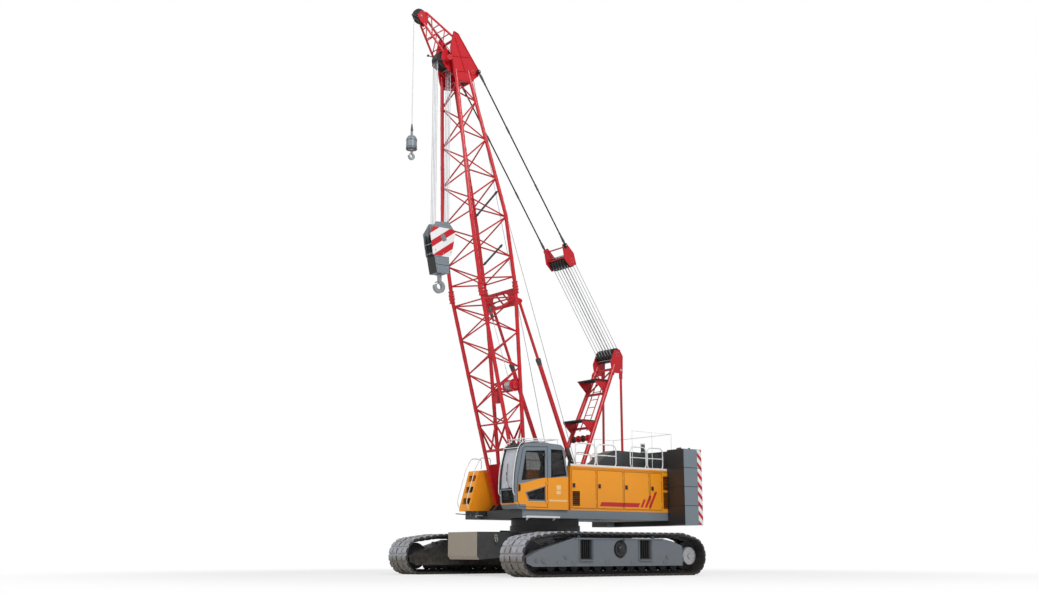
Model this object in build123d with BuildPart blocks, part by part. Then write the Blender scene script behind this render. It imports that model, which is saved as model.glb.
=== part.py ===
from build123d import *
from math import atan2, cos, degrees, hypot, pi, radians, sin, sqrt
import os

os.makedirs("parts", exist_ok=True)

# Crawler crane with a lattice boom, in millimetres.
# +X is forward, +Y the operator's side, +Z up; the origin is on the ground on the slewing axis.

# ---------------------------------------------------------------- driving dimensions
# undercarriage
track_y = 3140  # middle of each track
shoe_width = 1100
link_width = 360
front_axle_x = 3130
rear_axle_x = -3070
axle_z = 600
wrap_radius = 600  # over the shoes, round both end wheels
upper_run_z = 1315
upper_bend_radius = 500
upper_front_x = 2270
upper_rear_x = -2620
shoe_count = 64
plate_depth = 75  # shoe plate with its pads
link_depth = 170  # down to the face that runs on the wheels
wheel_radius = wrap_radius - link_depth - 2
frame_inner_y = 2700
frame_outer_y = 3600
channel_half_width = 240  # the channel that holds the rollers and the end wheels
roller_radius = 130
roller_count = 12
beam_x = (1270, -1110)  # the two cross beams
beam_width = 430
beam_bottom_z = 500
beam_top_z = 1080
carbody_top_z = 1340
ballast_front_x = 3270
ballast_half_width = 800
ring_radius = 1150
ring_split_z = 1560

# superstructure
deck_bottom_z = 1760
deck_top_z = 2020
house_side_y = 1550
house_inner_y = 810
house_top_z = 3420
house_front_x = 170
house_rear_x = -4390
wall = 40
web_half_width = 750
foot_x = 1360  # boom foot pin
foot_z = 2100

# cab
cab_inner_y = 812
cab_outer_y = 1620
cab_wall = 45
door_rear_x = 1150

# counterweight
weight_half_width = 2400
weight_front_x = -4060
weight_rear_x = -4950
weight_recess_x = -4450
slab_levels = (1600, 2240, 2870, 3500, 4130)

# boom, along its own axis from the foot pin
boom_angle = 80.5
foot_section_start = 1250
joint_s = 7060
head_start = 14300
chord_radius = 62
lacing_radius = 26
joint_half_width = 840
joint_half_depth = 695
foot_half_width = 700
foot_half_depth = 205
parallel_end = 9500
head_half_width = 430
head_half_depth = 260
main_sheave = (4270, 16720)  # x, z of the sheave pin
main_sheave_radius = 255  # to the rope's middle
tip_sheave = (5175, 18070)
tip_sheave_radius = 220
guide_sheave = (3350, 16410)
guide_sheave_radius = 240
pendant_pin = (3170, 16440)
pendant_y = 505
pendant_pin_radius = 30
rope_radius = 11
pin_radius = 45

# hook blocks
block_sheave_z = 10600
block_half_width = 210
fall_y = (-132, -44, 44, 132)

# gantry and stays
gantry_foot = (-640, 632, 2450)
gantry_top = (-2740, 450, 7080)
gantry_sheave = (-2880, 7480)
gantry_stay_x = -3020
bridle_pin = (-830, 10550)
stay_sheave_radius = 180
stay_rope_y = (-375, -225, -75, 75, 225, 375)
backstop_foot = (-520, 3660)
backstop_y = 733
backstop_pin_radius = 32
backstop_lug_radius = 100

boom_up = Vector(cos(radians(boom_angle)), 0, sin(radians(boom_angle)))
boom_out = Vector(sin(radians(boom_angle)), 0, -cos(radians(boom_angle)))
boom_foot = Vector(foot_x, 0, foot_z)
boom_plane = Plane(origin=boom_foot, x_dir=boom_up, z_dir=(0, 1, 0))  # its x runs up the boom, its y forward


# ---------------------------------------------------------------- shared shapes
def on_boom(along, across, forward):
    """A point given along the boom from the foot pin, to the left, and forward of its axis."""
    return boom_foot + boom_up * along + boom_out * forward + Vector(0, across, 0)


def bar(start, end, radius, sides=8):
    """A straight bar, kept apart so that one add() fuses a whole frame."""
    run = Vector(*end) - Vector(*start)
    with BuildSketch(Plane(origin=start, z_dir=run.normalized())) as section:
        RegularPolygon(radius, sides)
    return extrude(section.sketch, amount=run.length, mode=Mode.PRIVATE)


def tube(start, end, radius):
    """A straight round tube or rope."""
    run = Vector(*end) - Vector(*start)
    return Solid.make_cylinder(radius, run.length, Plane(origin=start, z_dir=run.normalized()))


def side_plate(points, y, thickness, mode=Mode.ADD):
    """A plate standing along X, from its outline in X and Z."""
    with BuildSketch(Plane.XZ.offset(-y)) as outline:
        Polygon(*points, align=None)
    extrude(outline.sketch, amount=thickness / 2, both=True, mode=mode)


def boom_plate(points, y, thickness, mode=Mode.ADD):
    """A plate beside the boom, from its outline along the boom and forward of its axis."""
    with BuildSketch(boom_plane.offset(y)) as outline:
        Polygon(*points, align=None)
    extrude(outline.sketch, amount=thickness / 2, both=True, mode=mode)


def box_between(low, high, mode=Mode.ADD):
    """A box between two corners."""
    middle = tuple((a + b) / 2 for a, b in zip(low, high))
    with Locations(middle):
        Box(*[abs(b - a) for a, b in zip(low, high)], mode=mode)


def pin(x, y, z, radius, length, mode=Mode.ADD):
    """A round pin or bore lying along Y, about its middle."""
    with Locations((x, y, z)):
        Cylinder(radius, length, rotation=(90, 0, 0), mode=mode)


def save(built, name):
    built.part.label = name
    export_step(built.part, f"parts/{name}.step")


# ---------------------------------------------------------------- tracks
# The loop is a belt round four circles: x, z, radius over the shoes, counter-clockwise from the front wheel.
belt_circles = (
    (front_axle_x, axle_z, wrap_radius),
    (upper_front_x, upper_run_z - upper_bend_radius, upper_bend_radius),
    (upper_rear_x, upper_run_z - upper_bend_radius, upper_bend_radius),
    (rear_axle_x, axle_z, wrap_radius),
)


def belt_runs(depth):
    """The belt at a depth below the shoes: (circle x, z, radius, first angle, last angle), in radians."""
    normals = []
    count = len(belt_circles)
    for i in range(count):
        x1, z1, r1 = belt_circles[i]
        x2, z2, r2 = belt_circles[(i + 1) % count]
        length = hypot(x2 - x1, z2 - z1)
        heading = atan2(z2 - z1, x2 - x1)
        lean = (r1 - r2) / length
        normals.append(heading - atan2(sqrt(1 - lean * lean), lean))
    runs = []
    for i in range(count):
        x, z, r = belt_circles[i]
        first = normals[i - 1]
        last = normals[i]
        while last < first:
            last += 2 * pi
        while last - first > 2 * pi:
            last -= 2 * pi
        runs.append((x, z, r - depth, first, last))
    return runs


def belt_length(runs):
    total = 0
    for i, (x, z, r, first, last) in enumerate(runs):
        nx, nz, nr, nfirst, _ = runs[(i + 1) % len(runs)]
        total += r * (last - first)
        total += hypot(nx + nr * cos(nfirst) - x - r * cos(last), nz + nr * sin(nfirst) - z - r * sin(last))
    return total


def belt_point(runs, distance):
    """The point at a distance round the belt, with the angle of its outward normal."""
    for i, (x, z, r, first, last) in enumerate(runs):
        arc = r * (last - first)
        if distance <= arc:
            angle = first + distance / r
            return x + r * cos(angle), z + r * sin(angle), angle
        distance -= arc
        nx, nz, nr, nfirst, _ = runs[(i + 1) % len(runs)]
        x1, z1 = x + r * cos(last), z + r * sin(last)
        x2, z2 = nx + nr * cos(nfirst), nz + nr * sin(nfirst)
        line = hypot(x2 - x1, z2 - z1)
        if distance <= line:
            share = distance / line
            return x1 + share * (x2 - x1), z1 + share * (z2 - z1), last
        distance -= line
    return belt_point(runs, 0)


def belt_face(depth):
    """The filled loop at a depth below the shoes, of arcs and straight runs."""
    runs = belt_runs(depth)
    with BuildSketch(Plane.XZ) as face:
        with BuildLine():
            for i, (x, z, r, first, last) in enumerate(runs):
                middle = (first + last) / 2
                start = (x + r * cos(first), z + r * sin(first))
                through = (x + r * cos(middle), z + r * sin(middle))
                end = (x + r * cos(last), z + r * sin(last))
                nx, nz, nr, nfirst, _ = runs[(i + 1) % len(runs)]
                ThreePointArc(start, through, end)
                Line(end, (nx + nr * cos(nfirst), nz + nr * sin(nfirst)))
        make_face()
    return face.sketch


# one shoe: share of the pitch, depth below the pad's face
shoe_outline = ((-0.5, 62), (-0.44, 24), (-0.3, 0), (0.3, 0), (0.44, 24))
outer_runs = belt_runs(0)
shoe_pitch = belt_length(outer_runs) / shoe_count
shoe_points = []
for shoe in range(shoe_count):
    for share, depth in shoe_outline:
        x, z, angle = belt_point(outer_runs, ((shoe + 0.5 + share) * shoe_pitch) % belt_length(outer_runs))
        shoe_points.append((x - depth * cos(angle), z - depth * sin(angle)))

sides = (("left", 1), ("right", -1))
for side, sign in sides:
    with BuildPart() as track:
        with BuildSketch(Plane.XZ.offset(-sign * track_y)) as shoes:
            Polygon(*shoe_points, align=None)
            add(belt_face(plate_depth), mode=Mode.SUBTRACT)
        extrude(amount=shoe_width / 2, both=True)
        with BuildSketch(Plane.XZ.offset(-sign * track_y)) as links:
            add(belt_face(plate_depth - 10))
            add(belt_face(link_depth), mode=Mode.SUBTRACT)
        extrude(amount=link_width / 2, both=True)
    save(track, f"track_{side}")

# ---------------------------------------------------------------- track frames and their wheels
# outline of a side frame: x, z
frame_outline = (
    (-2700, 300),
    (3250, 300),
    (3500, 400),
    (3510, 560),
    (3010, 770),
    (1700, 1130),
    (-1830, 1130),
    (-2300, 1040),
    (-2700, 900),
)
travel_unit = (-90, 800)  # round unit in the middle of each side frame
travel_unit_radius = 270
post_x = (2250, 1950)  # carrier posts over the sloping front
# round covers on the outer face of a side frame: x, z, radius
frame_covers = ((3150, 480, 55), (2880, 480, 75), (2060, 560, 55), (-2050, 560, 70))
post_top = 1010

for side, sign in sides:
    outer = sign * frame_outer_y
    middle = sign * (frame_inner_y + frame_outer_y) / 2
    depth = frame_outer_y - frame_inner_y
    with BuildPart() as track_frame:
        side_plate(frame_outline, middle, depth)
        channel_low = (-2710, sign * track_y - channel_half_width, 200)
        channel_high = (2620, sign * track_y + channel_half_width, 470)
        box_between(channel_low, channel_high, Mode.SUBTRACT)
        for x_low, x_high in ((2600, 3700), (-2710, -2600)):
            bay_low = (x_low, sign * track_y - channel_half_width, 200)
            bay_high = (x_high, sign * track_y + channel_half_width, 1200)
            box_between(bay_low, bay_high, Mode.SUBTRACT)
        for x in beam_x:
            half = beam_width / 2 + 15
            window = (
                (x - half, beam_bottom_z), (x + half, beam_bottom_z), (x + half, beam_top_z),
                (x - half, beam_top_z),
            )
            side_plate(window, middle, depth + 20, Mode.SUBTRACT)
        pin(travel_unit[0], outer, travel_unit[1], travel_unit_radius, 240, Mode.SUBTRACT)
        for x in post_x:
            top = 1130 - (x - 1700) * 360 / 1310
            post_low = (x - 50, sign * track_y - 130, top - 60)
            post_high = (x + 50, sign * track_y + 130, post_top + 50)
            box_between(post_low, post_high)
        # on the outer face: a ledge below each window, ribs beside it, and round covers
        for x in beam_x:
            ledge_low = (x - 260, outer - 5, beam_bottom_z - 45)
            ledge_high = (x + 260, outer + sign * 50, beam_bottom_z - 15)
            box_between(ledge_low, ledge_high)
            for rib_x in (x - 270, x + 270):
                rib_low = (rib_x - 12, outer - 5, beam_bottom_z - 45)
                rib_high = (rib_x + 12, outer + sign * 28, beam_top_z)
                box_between(rib_low, rib_high)
        for x, z, radius in frame_covers:
            pin(x, outer, z, radius, 36)
        rail_low = (-1830, outer - 5, 1090)
        rail_high = (1700, outer + sign * 22, 1128)
        box_between(rail_low, rail_high)
    save(track_frame, f"track_frame_{side}")

# half outlines of the wheels, turned about their axles: across from the middle, radius
roller_outline = ((0, 0), (0, roller_radius), (190, roller_radius), (190, 150), (226, 150), (226, 0))
front_wheel_outline = (
    (0, 0), (0, 395), (60, 395), (60, wheel_radius), (180, wheel_radius), (180, 190), (240, 190), (240, 0),
)
rear_wheel_outline = (
    (0, 0), (0, 395), (60, 395), (60, wheel_radius), (180, wheel_radius), (180, 70), (300, 70), (300, 0),
)


def wheel(x, y, z, outline):
    """A wheel turned about its axle along Y, the same on both sides of its middle."""
    with BuildSketch(Plane(origin=(x, y, z), x_dir=(0, 1, 0), z_dir=(1, 0, 0))) as half:
        Polygon(*outline, align=None)
        mirror(about=Plane.YZ)
    revolve(half.sketch, axis=Axis((x, y, z), (0, 1, 0)))


roller_pitch = 450
first_roller_x = -2520
with BuildPart() as track_wheels:
    for _, sign in sides:
        wheel(front_axle_x, sign * track_y, axle_z, front_wheel_outline)
        for i in range(roller_count):
            roller_x = first_roller_x + i * roller_pitch
            wheel(roller_x, sign * track_y, link_depth + roller_radius, roller_outline)
        wheel(rear_axle_x, sign * track_y, axle_z, rear_wheel_outline)
save(track_wheels, "track_wheels")

with BuildPart() as tensioners:
    for _, sign in sides:
        for y in (sign * (track_y + 320), sign * (track_y - 320)):
            fork = (
                (-2700, 430), (-2700, 770), (-2850, 780), (rear_axle_x, 880), (rear_axle_x, 320),
                (-2850, 420),
            )
            side_plate(fork, y, 120)
            pin(rear_axle_x, y, axle_z, 280, 120)
            pin(rear_axle_x, y, axle_z, 70, 130, Mode.SUBTRACT)
save(tensioners, "track_tensioners")

# turned steps of a pin unit: middle inside the frame's outer face, radius, length
pin_unit_steps = ((60, 245, 30), (60, 200, 119), (0, 120, 60), (-30, 70, 40))
with BuildPart() as pin_units:
    for _, sign in sides:
        for reach, radius, length in pin_unit_steps:
            pin(travel_unit[0], sign * (frame_outer_y - reach), travel_unit[1], radius, length)
save(pin_units, "side_frame_pin_units")

# ---------------------------------------------------------------- carbody
gusset_outline = ((1400, beam_top_z), (1400, 1310), (1500, 1310), (2350, beam_top_z))
with BuildPart() as carbody:
    box_between((-1500, -1500, 560), (1660, 1500, carbody_top_z))
    chamfer(carbody.edges().filter_by(Axis.Z), 420)
    for x in beam_x:
        low = (x - beam_width / 2, -frame_outer_y + 60, beam_bottom_z)
        high = (x + beam_width / 2, frame_outer_y - 60, beam_top_z)
        box_between(low, high)
    with BuildSketch(Plane.XY.offset(carbody_top_z)):
        Circle(ring_radius)
    extrude(amount=ring_split_z - 6 - carbody_top_z)
    # gussets between the box and the cross beams
    for x in beam_x:
        for gusset_x in (x - 150, x + 150):
            for sign in (1, -1):
                with BuildSketch(Plane.YZ.offset(gusset_x)) as gusset:
                    Polygon(*[(sign * y, z) for y, z in gusset_outline], align=None)
                extrude(gusset.sketch, amount=15, both=True)
save(carbody, "carbody")

# each ballast block: face against the carbody, outer face, x of its lashing eyes
ballast_blocks = ((1660, ballast_front_x, 2600), (-1500, -3110, -2440))
lashing_z = 1180
lashing_reach = 90
lashing_bore = 30
with BuildPart() as ballast:
    for near_x, far_x, eye_x in ballast_blocks:
        lip = 90 if far_x > near_x else -90
        outline = (
            (near_x, 600), (far_x - lip, 490), (far_x, 600), (far_x, carbody_top_z - 10),
            (near_x, carbody_top_z),
        )
        side_plate(outline, 0, 2 * ballast_half_width)
        # lashing eyes on the flanks
        for _, sign in sides:
            with BuildSketch(Plane.YZ.offset(eye_x)) as eye_plate:
                with Locations((sign * (ballast_half_width + lashing_reach / 2), lashing_z)):
                    Rectangle(lashing_reach, 150)
                with Locations((sign * (ballast_half_width + lashing_reach), lashing_z)):
                    Circle(75)
                    Circle(lashing_bore, mode=Mode.SUBTRACT)
            extrude(eye_plate.sketch, amount=20, both=True)
save(ballast, "carbody_ballast")

# ---------------------------------------------------------------- superstructure frame
bracket_width = 44
# winch drums: name, x, barrel radius
winch_drums = (("main", -600, 270), ("auxiliary", -2050, 270), ("luffing", -3600, 220))
drum_z = 2740
with BuildPart() as turntable:
    with BuildSketch(Plane.XY.offset(ring_split_z)):
        Circle(ring_radius - 40)
    extrude(amount=deck_bottom_z - ring_split_z)
    web_y = web_half_width + 50
    box_between((weight_recess_x, -web_y, deck_bottom_z), (1900, web_y, deck_top_z))
    box_between((weight_recess_x, -700, deck_top_z), (house_rear_x, 700, 3300))
    for sign in (1, -1):
        y_low, y_high = sorted((sign * web_y, sign * house_side_y))
        box_between((house_rear_x, y_low, deck_bottom_z), (2100, y_high, deck_top_z))
        # boom foot bracket, inner and outer cheek
        cheek = ((900, deck_top_z), (1720, deck_top_z), (1500, 2230), (1300, 2250))
        side_plate(cheek, sign * 555, 80)
        side_plate(cheek, sign * 775, 40)
        # tall side bracket: carries the gantry leg and, on the pin in its rounded top, the backstop
        bracket = (
            (-1250, deck_top_z), (-150, deck_top_z), (-420, backstop_foot[1]),
            (-620, backstop_foot[1]), (-900, 2700),
        )
        side_plate(bracket, sign * backstop_y, bracket_width)
        pin(backstop_foot[0], sign * backstop_y, backstop_foot[1], backstop_lug_radius, bracket_width)
        pin(backstop_foot[0], sign * backstop_y, backstop_foot[1], backstop_pin_radius, 116)
        # foot of the gantry's rear stay
        stay_foot = (
            (gantry_stay_x - 160, deck_top_z), (gantry_stay_x + 160, deck_top_z),
            (gantry_stay_x, 2330),
        )
        side_plate(stay_foot, sign * 570, 40)
    # winch bearings: x of the drum
    for _, x, _ in winch_drums:
        for sign in (1, -1):
            bearing = ((x - 300, deck_top_z), (x + 300, deck_top_z), (x + 100, drum_z), (x - 100, drum_z))
            side_plate(bearing, sign * 520, 40)
            pin(x, sign * 520, drum_z, 100, 40)
    for sign in (1, -1):
        y_low, y_high = sorted((sign * 600, sign * 745))
        box_between((1180, y_low, 1850), (1901, y_high, deck_top_z + 1), Mode.SUBTRACT)
        pin(foot_x, sign * 655, foot_z, 68, 280)
save(turntable, "turntable")

# ---------------------------------------------------------------- machinery houses
# doors: side, number, front edge, rear edge
left_doors = ((1, house_front_x - 20, -930), (2, -930, -2100), (3, -2100, -3270), (4, -3270, -3850))
right_front_x = 1050
right_doors = ((1, right_front_x - 20, -600), (2, -600, -2230), (3, -2230, -3850))
# louvred openings in the side walls: rear edge, front edge, bottom, top
rear_louvres = ((-4345, -3890, 2150, 2700), (-4345, -3890, 2760, 3240))
door_louvre = (310, 470)  # width and height of the vent in the front door of each side
slat_pitch = 62
slat_width = 44
slat_thickness = 8
hinge_radius = 9
hinge_heights = (2300, 3110)
door_gap = 6
door_low_z = 2070
door_high_z = 3350
houses = (("left", 1, house_front_x, left_doors), ("right", -1, right_front_x, right_doors))


def louvre(sign, x_low, x_high, z_low, z_high):
    """A vent through a side wall, with slats that lean outwards and down."""
    y_low, y_high = sorted((sign * (house_side_y - wall - 1), sign * (house_side_y + 1)))
    box_between((x_low, y_low, z_low), (x_high, y_high, z_high), Mode.SUBTRACT)
    count = int((z_high - z_low) / slat_pitch)
    slats = []
    for i in range(count):
        z = z_low + (i + 0.5) * (z_high - z_low) / count
        with BuildSketch(Plane.YZ.offset(x_low - 2)) as section:
            with Locations((sign * (house_side_y - wall / 2), z)):
                Rectangle(slat_width, slat_thickness, rotation=-sign * 40)
        slats.append(extrude(section.sketch, amount=x_high - x_low + 4, mode=Mode.PRIVATE))
    add(slats)


for side, sign, front_x, doors in houses:
    middle = sign * (house_inner_y + house_side_y) / 2
    depth = house_side_y - house_inner_y
    with BuildPart() as house:
        shell = (
            (house_rear_x, deck_top_z), (front_x, deck_top_z), (front_x, house_top_z),
            (house_rear_x, house_top_z),
        )
        side_plate(shell, middle, depth)
        y_low, y_high = sorted((sign * (house_inner_y + wall), sign * (house_side_y - wall)))
        hollow_low = (house_rear_x + wall, y_low, deck_top_z + wall)
        hollow_high = (front_x - wall, y_high, house_top_z - wall)
        box_between(hollow_low, hollow_high, Mode.SUBTRACT)
        for _, door_front, door_rear in doors:
            y_low, y_high = sorted((sign * (house_side_y - wall - 5), sign * (house_side_y + 5)))
            low = (door_rear + 15, y_low, door_low_z)
            high = (door_front - 15, y_high, door_high_z)
            box_between(low, high, Mode.SUBTRACT)
        for vent in rear_louvres:
            louvre(sign, *vent)
        lip_low = (house_rear_x, sign * (house_side_y - 5), house_top_z - 34)
        lip_high = (front_x, sign * (house_side_y + 24), house_top_z + 8)
        box_between(lip_low, lip_high)
    save(house, f"{side}_house")
    for number, door_front, door_rear in doors:
        with BuildPart() as door:
            y_low, y_high = sorted((sign * (house_side_y - wall), sign * house_side_y))
            low = (door_rear + 15 + door_gap, y_low, door_low_z + door_gap)
            high = (door_front - 15 - door_gap, y_high, door_high_z - door_gap)
            box_between(low, high)
            if number == 1:
                vent_front = door_front - 60
                vent_low_z = 2160
                louvre(sign, vent_front - door_louvre[0], vent_front, vent_low_z, vent_low_z + door_louvre[1])
            # latch plate with its handle
            y_low, y_high = sorted((sign * house_side_y, sign * (house_side_y + 8)))
            box_between((door_front - 160, y_low, 2740), (door_front - 60, y_high, 2880))
            y_low, y_high = sorted((sign * house_side_y, sign * (house_side_y + 25)))
            box_between((door_front - 130, y_low, 2770), (door_front - 90, y_high, 2850))
            # hinge knuckles with their leaves
            hinge_x = door_rear + 15 + door_gap
            hinge_y = sign * (house_side_y + 10)
            for z in hinge_heights:
                with Locations((hinge_x, hinge_y, z)):
                    Cylinder(hinge_radius, 110)
                y_low, y_high = sorted((sign * house_side_y, sign * (house_side_y + 7)))
                box_between((hinge_x + 4, y_low, z - 50), (hinge_x + 80, y_high, z + 50))
        save(door, f"{side}_service_door_{number}")

with BuildPart() as engine:
    box_between((-3300, 900, deck_top_z + wall), (-1700, 1400, 3050))
save(engine, "engine")

hood_slot_count = 6
with BuildPart() as hood:
    outline = ((-1000, house_top_z), (-4050, house_top_z), (-4050, 4000), (-2000, 4040), (-1750, 3960))
    side_plate(outline, 1000, 560)
    for sign in (1, -1):
        face_y = 1000 + sign * 280
        for i in range(hood_slot_count):
            z = 3560 + i * 62
            box_between((-3850, face_y - 14, z), (-2250, face_y + 14, z + 26), Mode.SUBTRACT)
    with Locations((-3500, 1000, 4150)):
        Cylinder(70, 330)
        Cylinder(56, 332, mode=Mode.SUBTRACT)
    with Locations((-3500, 1000, 4015)):
        Cylinder(110, 60)
save(hood, "engine_hood")

with BuildPart() as access_steps:
    outline = (
        (right_front_x, deck_top_z), (2360, deck_top_z), (2330, 2180), (1980, 3330),
        (right_front_x, house_top_z),
    )
    side_plate(outline, -1250, 600)
    for z in (2250, 2620, 2990):
        nose = 2330 - (z - 2180) * 350 / 1150
        box_between((nose - 260, -1460, z), (nose + 100, -1040, z + 190), Mode.SUBTRACT)
save(access_steps, "access_steps")

with BuildPart() as handrails:
    bars = []
    for _, sign in sides:
        rail_y = sign * 1450
        for front, rear in ((-100, -1900), (-2480, -4020)):
            for z in (4180, 3820):
                bars.append(bar((front, rail_y, z), (rear, rail_y, z), 20))
            for x in (front, (front + rear) / 2, rear):
                bars.append(bar((x, rail_y, house_top_z), (x, rail_y, 4180), 20))
    add(bars)
    # step along the cab, on two brackets against the deck
    box_between((770, 1556, 1760), (2100, 1760, 1790))
    for x in (900, 1950):
        bracket = Plane.YZ.offset(x)
        with BuildSketch(bracket) as outline:
            Polygon((1556, 1762), (1740, 1762), (1556, 1660), align=None)
        extrude(outline.sketch, amount=10, both=True)
save(handrails, "handrails")

# ---------------------------------------------------------------- counterweight
for slab, (low_z, high_z) in enumerate(zip(slab_levels, slab_levels[1:]), 1):
    with BuildPart() as weight:
        box_between((weight_rear_x, -weight_half_width, low_z), (weight_front_x, weight_half_width, high_z))
        recess_low = (weight_recess_x, -1600, low_z - 1)
        recess_high = (weight_front_x + 1, 1600, high_z + 1)
        box_between(recess_low, recess_high, Mode.SUBTRACT)
        chamfer(weight.edges().filter_by(Axis.Z).sort_by(Axis.X)[:2], 60)
    save(weight, f"counterweight_slab_{slab}")


# ---------------------------------------------------------------- cab
# side outline of the cab: x, z
cab_outline = (
    (320, deck_top_z),
    (2300, deck_top_z),
    (2400, 2200),
    (2440, 2650),
    (2420, 3050),
    (2350, 3500),
    (2230, 3930),
    (2050, 4040),
    (1300, 4100),
    (600, 4060),
    (480, 3960),
    (320, 3060),
)
door_outline = (
    (door_rear_x, 2075),
    (2270, 2075),
    (2340, 2250),
    (2360, 2650),
    (2330, 3000),
    (2140, 3860),
    (2060, 3940),
    (door_rear_x, 3980),
)
door_window = ((1270, 3010), (2180, 2900), (2000, 3800), (1270, 3850))
low_window = ((1270, 2310), (1880, 2310), (1980, 2510), (1270, 2710))
rear_side_window = ((400, 3100), (1010, 3020), (1010, 3900), (560, 3900))


def cab_ring(outer_inset, inner_inset, y_low, y_high):
    """The cab's side outline as a band between two insets, across part of its width."""
    with BuildSketch(Plane.XZ.offset(-(y_low + y_high) / 2)) as band:
        Polygon(*cab_outline, align=None)
        if outer_inset:
            offset(amount=-outer_inset, kind=Kind.INTERSECTION)
        with BuildSketch(mode=Mode.PRIVATE) as inside:
            Polygon(*cab_outline, align=None)
            offset(amount=-inner_inset, kind=Kind.INTERSECTION)
        add(inside.sketch, mode=Mode.SUBTRACT)
    return extrude(band.sketch, amount=(y_high - y_low) / 2, both=True, mode=Mode.PRIVATE)


screen_low = (2000, cab_inner_y + 70, 2640)
screen_high = (2500, cab_outer_y - 70, 3880)
lower_screen_low = (2200, cab_inner_y + 90, 2200)
lower_screen_high = (2500, cab_outer_y - 90, 2590)
rear_window_low = (300, cab_inner_y + 90, 3150)
rear_window_high = (560, cab_outer_y - 90, 3850)
right_window = ((480, 3050), (2150, 2900), (1980, 3850), (600, 3850))
cab_middle_y = (cab_inner_y + cab_outer_y) / 2
side_wall_y = cab_outer_y - cab_wall / 2
inner_wall_y = cab_inner_y + cab_wall / 2

with BuildPart() as cab_shell:
    side_plate(cab_outline, cab_middle_y, cab_outer_y - cab_inner_y)
    with BuildSketch(Plane.XZ.offset(-cab_middle_y)) as hollow:
        Polygon(*cab_outline, align=None)
        offset(amount=-cab_wall, kind=Kind.INTERSECTION)
    extrude(hollow.sketch, amount=(cab_outer_y - cab_inner_y) / 2 - cab_wall, both=True, mode=Mode.SUBTRACT)
    with BuildSketch(Plane.XZ.offset(-side_wall_y)) as opening:
        Polygon(*door_outline, align=None)
        offset(amount=door_gap, kind=Kind.INTERSECTION)
    extrude(opening.sketch, amount=cab_wall, both=True, mode=Mode.SUBTRACT)
    side_plate(rear_side_window, side_wall_y, 2 * cab_wall, Mode.SUBTRACT)
    side_plate(right_window, inner_wall_y, 2 * cab_wall, Mode.SUBTRACT)
    box_between(screen_low, screen_high, Mode.SUBTRACT)
    box_between(lower_screen_low, lower_screen_high, Mode.SUBTRACT)
    box_between(rear_window_low, rear_window_high, Mode.SUBTRACT)
save(cab_shell, "cab_shell")

cab_hinge = (1140, 1640)  # x, y of the door's hinge line
cab_hinge_radius = 12
with BuildPart() as cab_door:
    side_plate(door_outline, side_wall_y, cab_wall)
    side_plate(door_window, side_wall_y, 2 * cab_wall, Mode.SUBTRACT)
    side_plate(low_window, side_wall_y, 2 * cab_wall, Mode.SUBTRACT)
    box_between((2250, cab_outer_y, 2560), (2310, cab_outer_y + 35, 2760))
    for z in (2250, 2850, 3700):
        with Locations((cab_hinge[0], cab_hinge[1], z)):
            Cylinder(cab_hinge_radius, 120)
        leaf_low = (cab_hinge[0] + 4, cab_outer_y - 1, z - 55)
        leaf_high = (cab_hinge[0] + 90, cab_outer_y + 14, z + 55)
        box_between(leaf_low, leaf_high)
save(cab_door, "cab_door")

with BuildPart() as door_glass:
    side_plate(door_window, side_wall_y, 8)
    side_plate(low_window, side_wall_y, 8)
save(door_glass, "door_glass")


def pane(x, low, high):
    """A sheet of glass that follows the cab's outline across one window."""
    band = cab_ring(18, 26, low[1], high[1])
    middle = (x, cab_middle_y, (low[2] + high[2]) / 2)
    window = Pos(*middle) * Box(500, 2000, high[2] - low[2], mode=Mode.PRIVATE)
    add(band & window)


with BuildPart() as cab_glass:
    side_plate(rear_side_window, side_wall_y, 8)
    side_plate(right_window, inner_wall_y, 8)
    pane(2250, screen_low, screen_high)
    pane(2350, lower_screen_low, lower_screen_high)
    pane(430, rear_window_low, rear_window_high)
save(cab_glass, "cab_glass")

with BuildPart() as operator_seat:
    floor_z = deck_top_z + cab_wall
    box_between((900, cab_middle_y - 200, floor_z), (1300, cab_middle_y + 200, floor_z + 300))
    box_between((830, cab_middle_y - 240, floor_z + 300), (1380, cab_middle_y + 240, floor_z + 440))
    back = ((800, floor_z + 300), (920, floor_z + 300), (800, floor_z + 1050), (690, floor_z + 1050))
    side_plate(back, cab_middle_y, 460)
save(operator_seat, "operator_seat")

with BuildPart() as controls:
    box_between((1000, cab_middle_y - 340, floor_z), (1500, cab_middle_y - 250, floor_z + 620))
    box_between((1000, cab_middle_y + 250, floor_z), (1500, cab_middle_y + 340, floor_z + 620))
    box_between((1950, cab_middle_y - 340, floor_z), (2150, cab_middle_y + 100, floor_z + 350))
save(controls, "control_consoles")

with BuildPart() as cab_rails:
    bars = []
    for y in (cab_inner_y + 60, cab_outer_y - 60):
        bars.append(bar((650, y, 4230), (2150, y, 4190), 16))
        for x, top in ((700, 4228), (1400, 4210), (2100, 4191)):
            bars.append(bar((x, y, 3950), (x, y, top), 14))
    for x, z in ((700, 4228), (2100, 4191)):
        bars.append(bar((x, cab_inner_y + 60, z), (x, cab_outer_y - 60, z), 14))
    add(bars)
    side_plate(cab_outline, cab_middle_y, cab_outer_y - cab_inner_y, Mode.SUBTRACT)
save(cab_rails, "cab_roof_rails")

# ---------------------------------------------------------------- boom sections
chord_corners = ((1, 1), (1, -1), (-1, -1), (-1, 1))  # across, forward


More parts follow.
